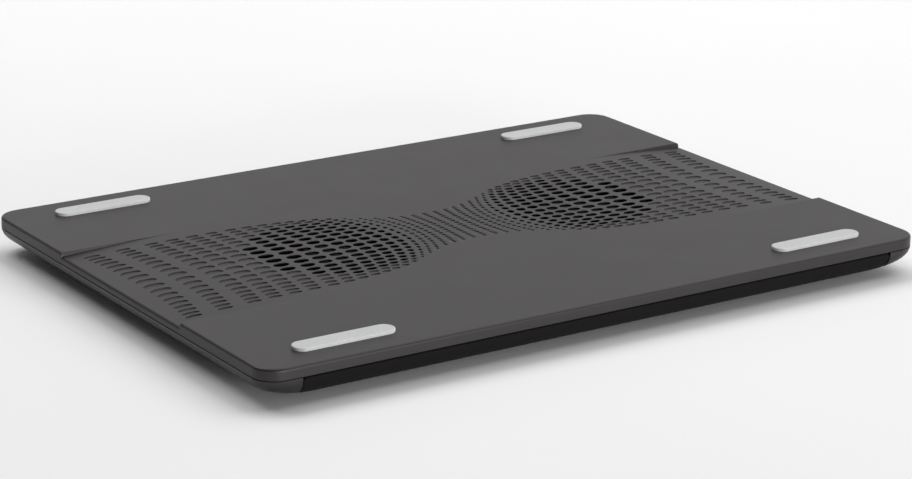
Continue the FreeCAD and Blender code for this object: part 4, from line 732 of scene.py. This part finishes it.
def cushion():
    """A soft skin with turned-in edges round its border, the fan wells and the front feet."""
    form = Form()
    loops = cushion_outlines(CLOTH_EDGE)
    edges = [np.array(loop) for loop in loops]

    def reach(x, s):
        return min(float(np.min(np.hypot(e[:, 0] - x, e[:, 1] - s))) for e in edges)

    def face(x, s):
        crown = CLOTH_CROWN * (1 - math.exp(-reach(x, s) / CROWN_REACH))
        crown *= 1.0 if s > RUN[-1] + 6 else WRAPPED_CROWN
        return cushion_point(x, s, -crown)

    across = np.arange(-160, 160.1, CLOTH_MESH)
    wrapped = np.linspace(1.5, RUN[-1], 12)
    below = np.arange(RUN[-1] + CLOTH_MESH / 2, RUN[-1] + FLAT_RUN, CLOTH_MESH)
    inside = [(x, s) for s in np.concatenate([wrapped, below]) for x in across
              if reach(x, s) > 2 * CLOTH_EDGE]
    form.fill(loops, face, up=False, extra=inside)
    for index, loop in enumerate(loops):
        rows = []
        drawn = [cushion_outlines(CLOTH_EDGE * (1 - math.sin(t)))[index] for t in arc(4)]
        for t, ring in zip(arc(4), drawn):
            deep = CLOTH_EDGE * (1 - math.cos(t))
            rows.append(form.add([cushion_point(x, s, deep) for x, s in ring], ring))
        rows.append(form.add([cushion_point(x, s, CLOTH_DEPTH) for x, s in drawn[-1]], drawn[-1]))
        form.rings(*(rows if index == 0 else rows[::-1]))
    work = form.mesh("cushion", "casing", MATERIALS["neoprene"])
    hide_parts("lap_cushion")


deck()
cushion()


# ---------------------------------------------------------------- floor, light and camera

# Lengths of the stage are in metres: lights as place, aim, size and power.
FLOOR_HALF = 12.0
LIGHTS = {
    "key": ((1.5, 0.1, 2.2), (0, 0, 0), (2.6, 2.2), 40),
    "back": ((-0.35, 1.5, 2.4), (0, 0, 0), (2.4, 1.6), 40),
    "front": ((0.1, -2.1, 0.2), (-0.05, 0, 0.02), (1.4, 0.3), 30),
}

# The camera's right, down and forward directions, and the top middle of the deck along them in millimetres.
CAMERA_AXES = np.array([[0.83571645, -0.54908548, 0.00911809],
                        [-0.15920768, -0.2581403, -0.952899],
                        [0.52557675, 0.7949017, -0.30315072]])
DECK_SEEN = np.array([-1.1256, -7.4402, 1417.464])
SENSOR, LENS = 36.0, 116.415789


def stage():
    """A plain pale floor under the feet."""
    data = bpy.data.meshes.new("floor")
    corners = [(x * FLOOR_HALF, y * FLOOR_HALF, 0) for x, y in ((-1, -1), (1, -1), (1, 1), (-1, 1))]
    data.from_pydata(corners, [], [(0, 1, 2, 3)])
    floor = bpy.data.objects.new("floor", data)
    bpy.context.scene.collection.objects.link(floor)
    made, tree, shader = nodes_for("floor")
    tone = span(tree, noise(tree, place(tree), 400.0), 0.0, 1.0)
    tree.links.new(blend(tree, tone, (0.96, 0.96, 0.96), (0.98, 0.98, 0.98)), shader.inputs["Base Color"])
    shader.inputs["Roughness"].default_value = 0.9
    shader.inputs["Specular IOR Level"].default_value = 0.1
    floor.data.materials.append(made)


def area(name, place_at, aim, size, power):
    """A rectangular light, placed and sized in metres."""
    light = bpy.data.lights.new(name, "AREA")
    light.shape = "RECTANGLE"
    light.size, light.size_y = size
    light.energy = power
    lamp = bpy.data.objects.new(name, light)
    lamp.location = place_at
    lamp.rotation_mode = "QUATERNION"
    lamp.rotation_quaternion = (Vector(aim) - Vector(place_at)).to_track_quat("-Z", "Y")
    bpy.context.scene.collection.objects.link(lamp)


def surroundings():
    """Soft light from all round, brighter low down than overhead and dim on the left."""
    world = bpy.data.worlds.new("studio")
    bpy.context.scene.world = world
    world.use_nodes = True
    tree = world.node_tree
    back = next(n for n in tree.nodes if n.type == "BACKGROUND")
    where = add(tree, "ShaderNodeTexCoord").outputs["Generated"]
    parts = add(tree, "ShaderNodeSeparateXYZ")
    tree.links.new(where, parts.inputs[0])
    back.inputs["Color"].default_value = (1, 1, 1, 1)
    height = span(tree, parts.outputs["Z"], 0.92, 0.04, 0.25, 0.7)
    across = span(tree, parts.outputs["X"], 0.03, 1.0, -0.7, 0.25)
    both = add(tree, "ShaderNodeMath", operation="MULTIPLY")
    tree.links.new(height, both.inputs[0])
    tree.links.new(across, both.inputs[1])
    tree.links.new(both.outputs[0], back.inputs["Strength"])


def camera():
    right, down, forward = CAMERA_AXES
    centre = np.array([0, 0, DECK]) - CAMERA_AXES.T @ DECK_SEEN
    data = bpy.data.cameras.new("camera")
    data.sensor_width, data.lens = SENSOR, LENS
    data.clip_start, data.clip_end = 0.05, 60.0
    item = bpy.data.objects.new("camera", data)
    bpy.context.scene.collection.objects.link(item)
    turn = Matrix([right, -down, -forward]).transposed()
    item.matrix_world = Matrix.Translation(Vector(centre * MM)) @ turn.to_4x4()
    bpy.context.scene.camera = item


stage()
surroundings()
for name, settings in LIGHTS.items():
    area(name, *settings)
camera()
bpy.context.scene.view_settings.view_transform = "Standard"
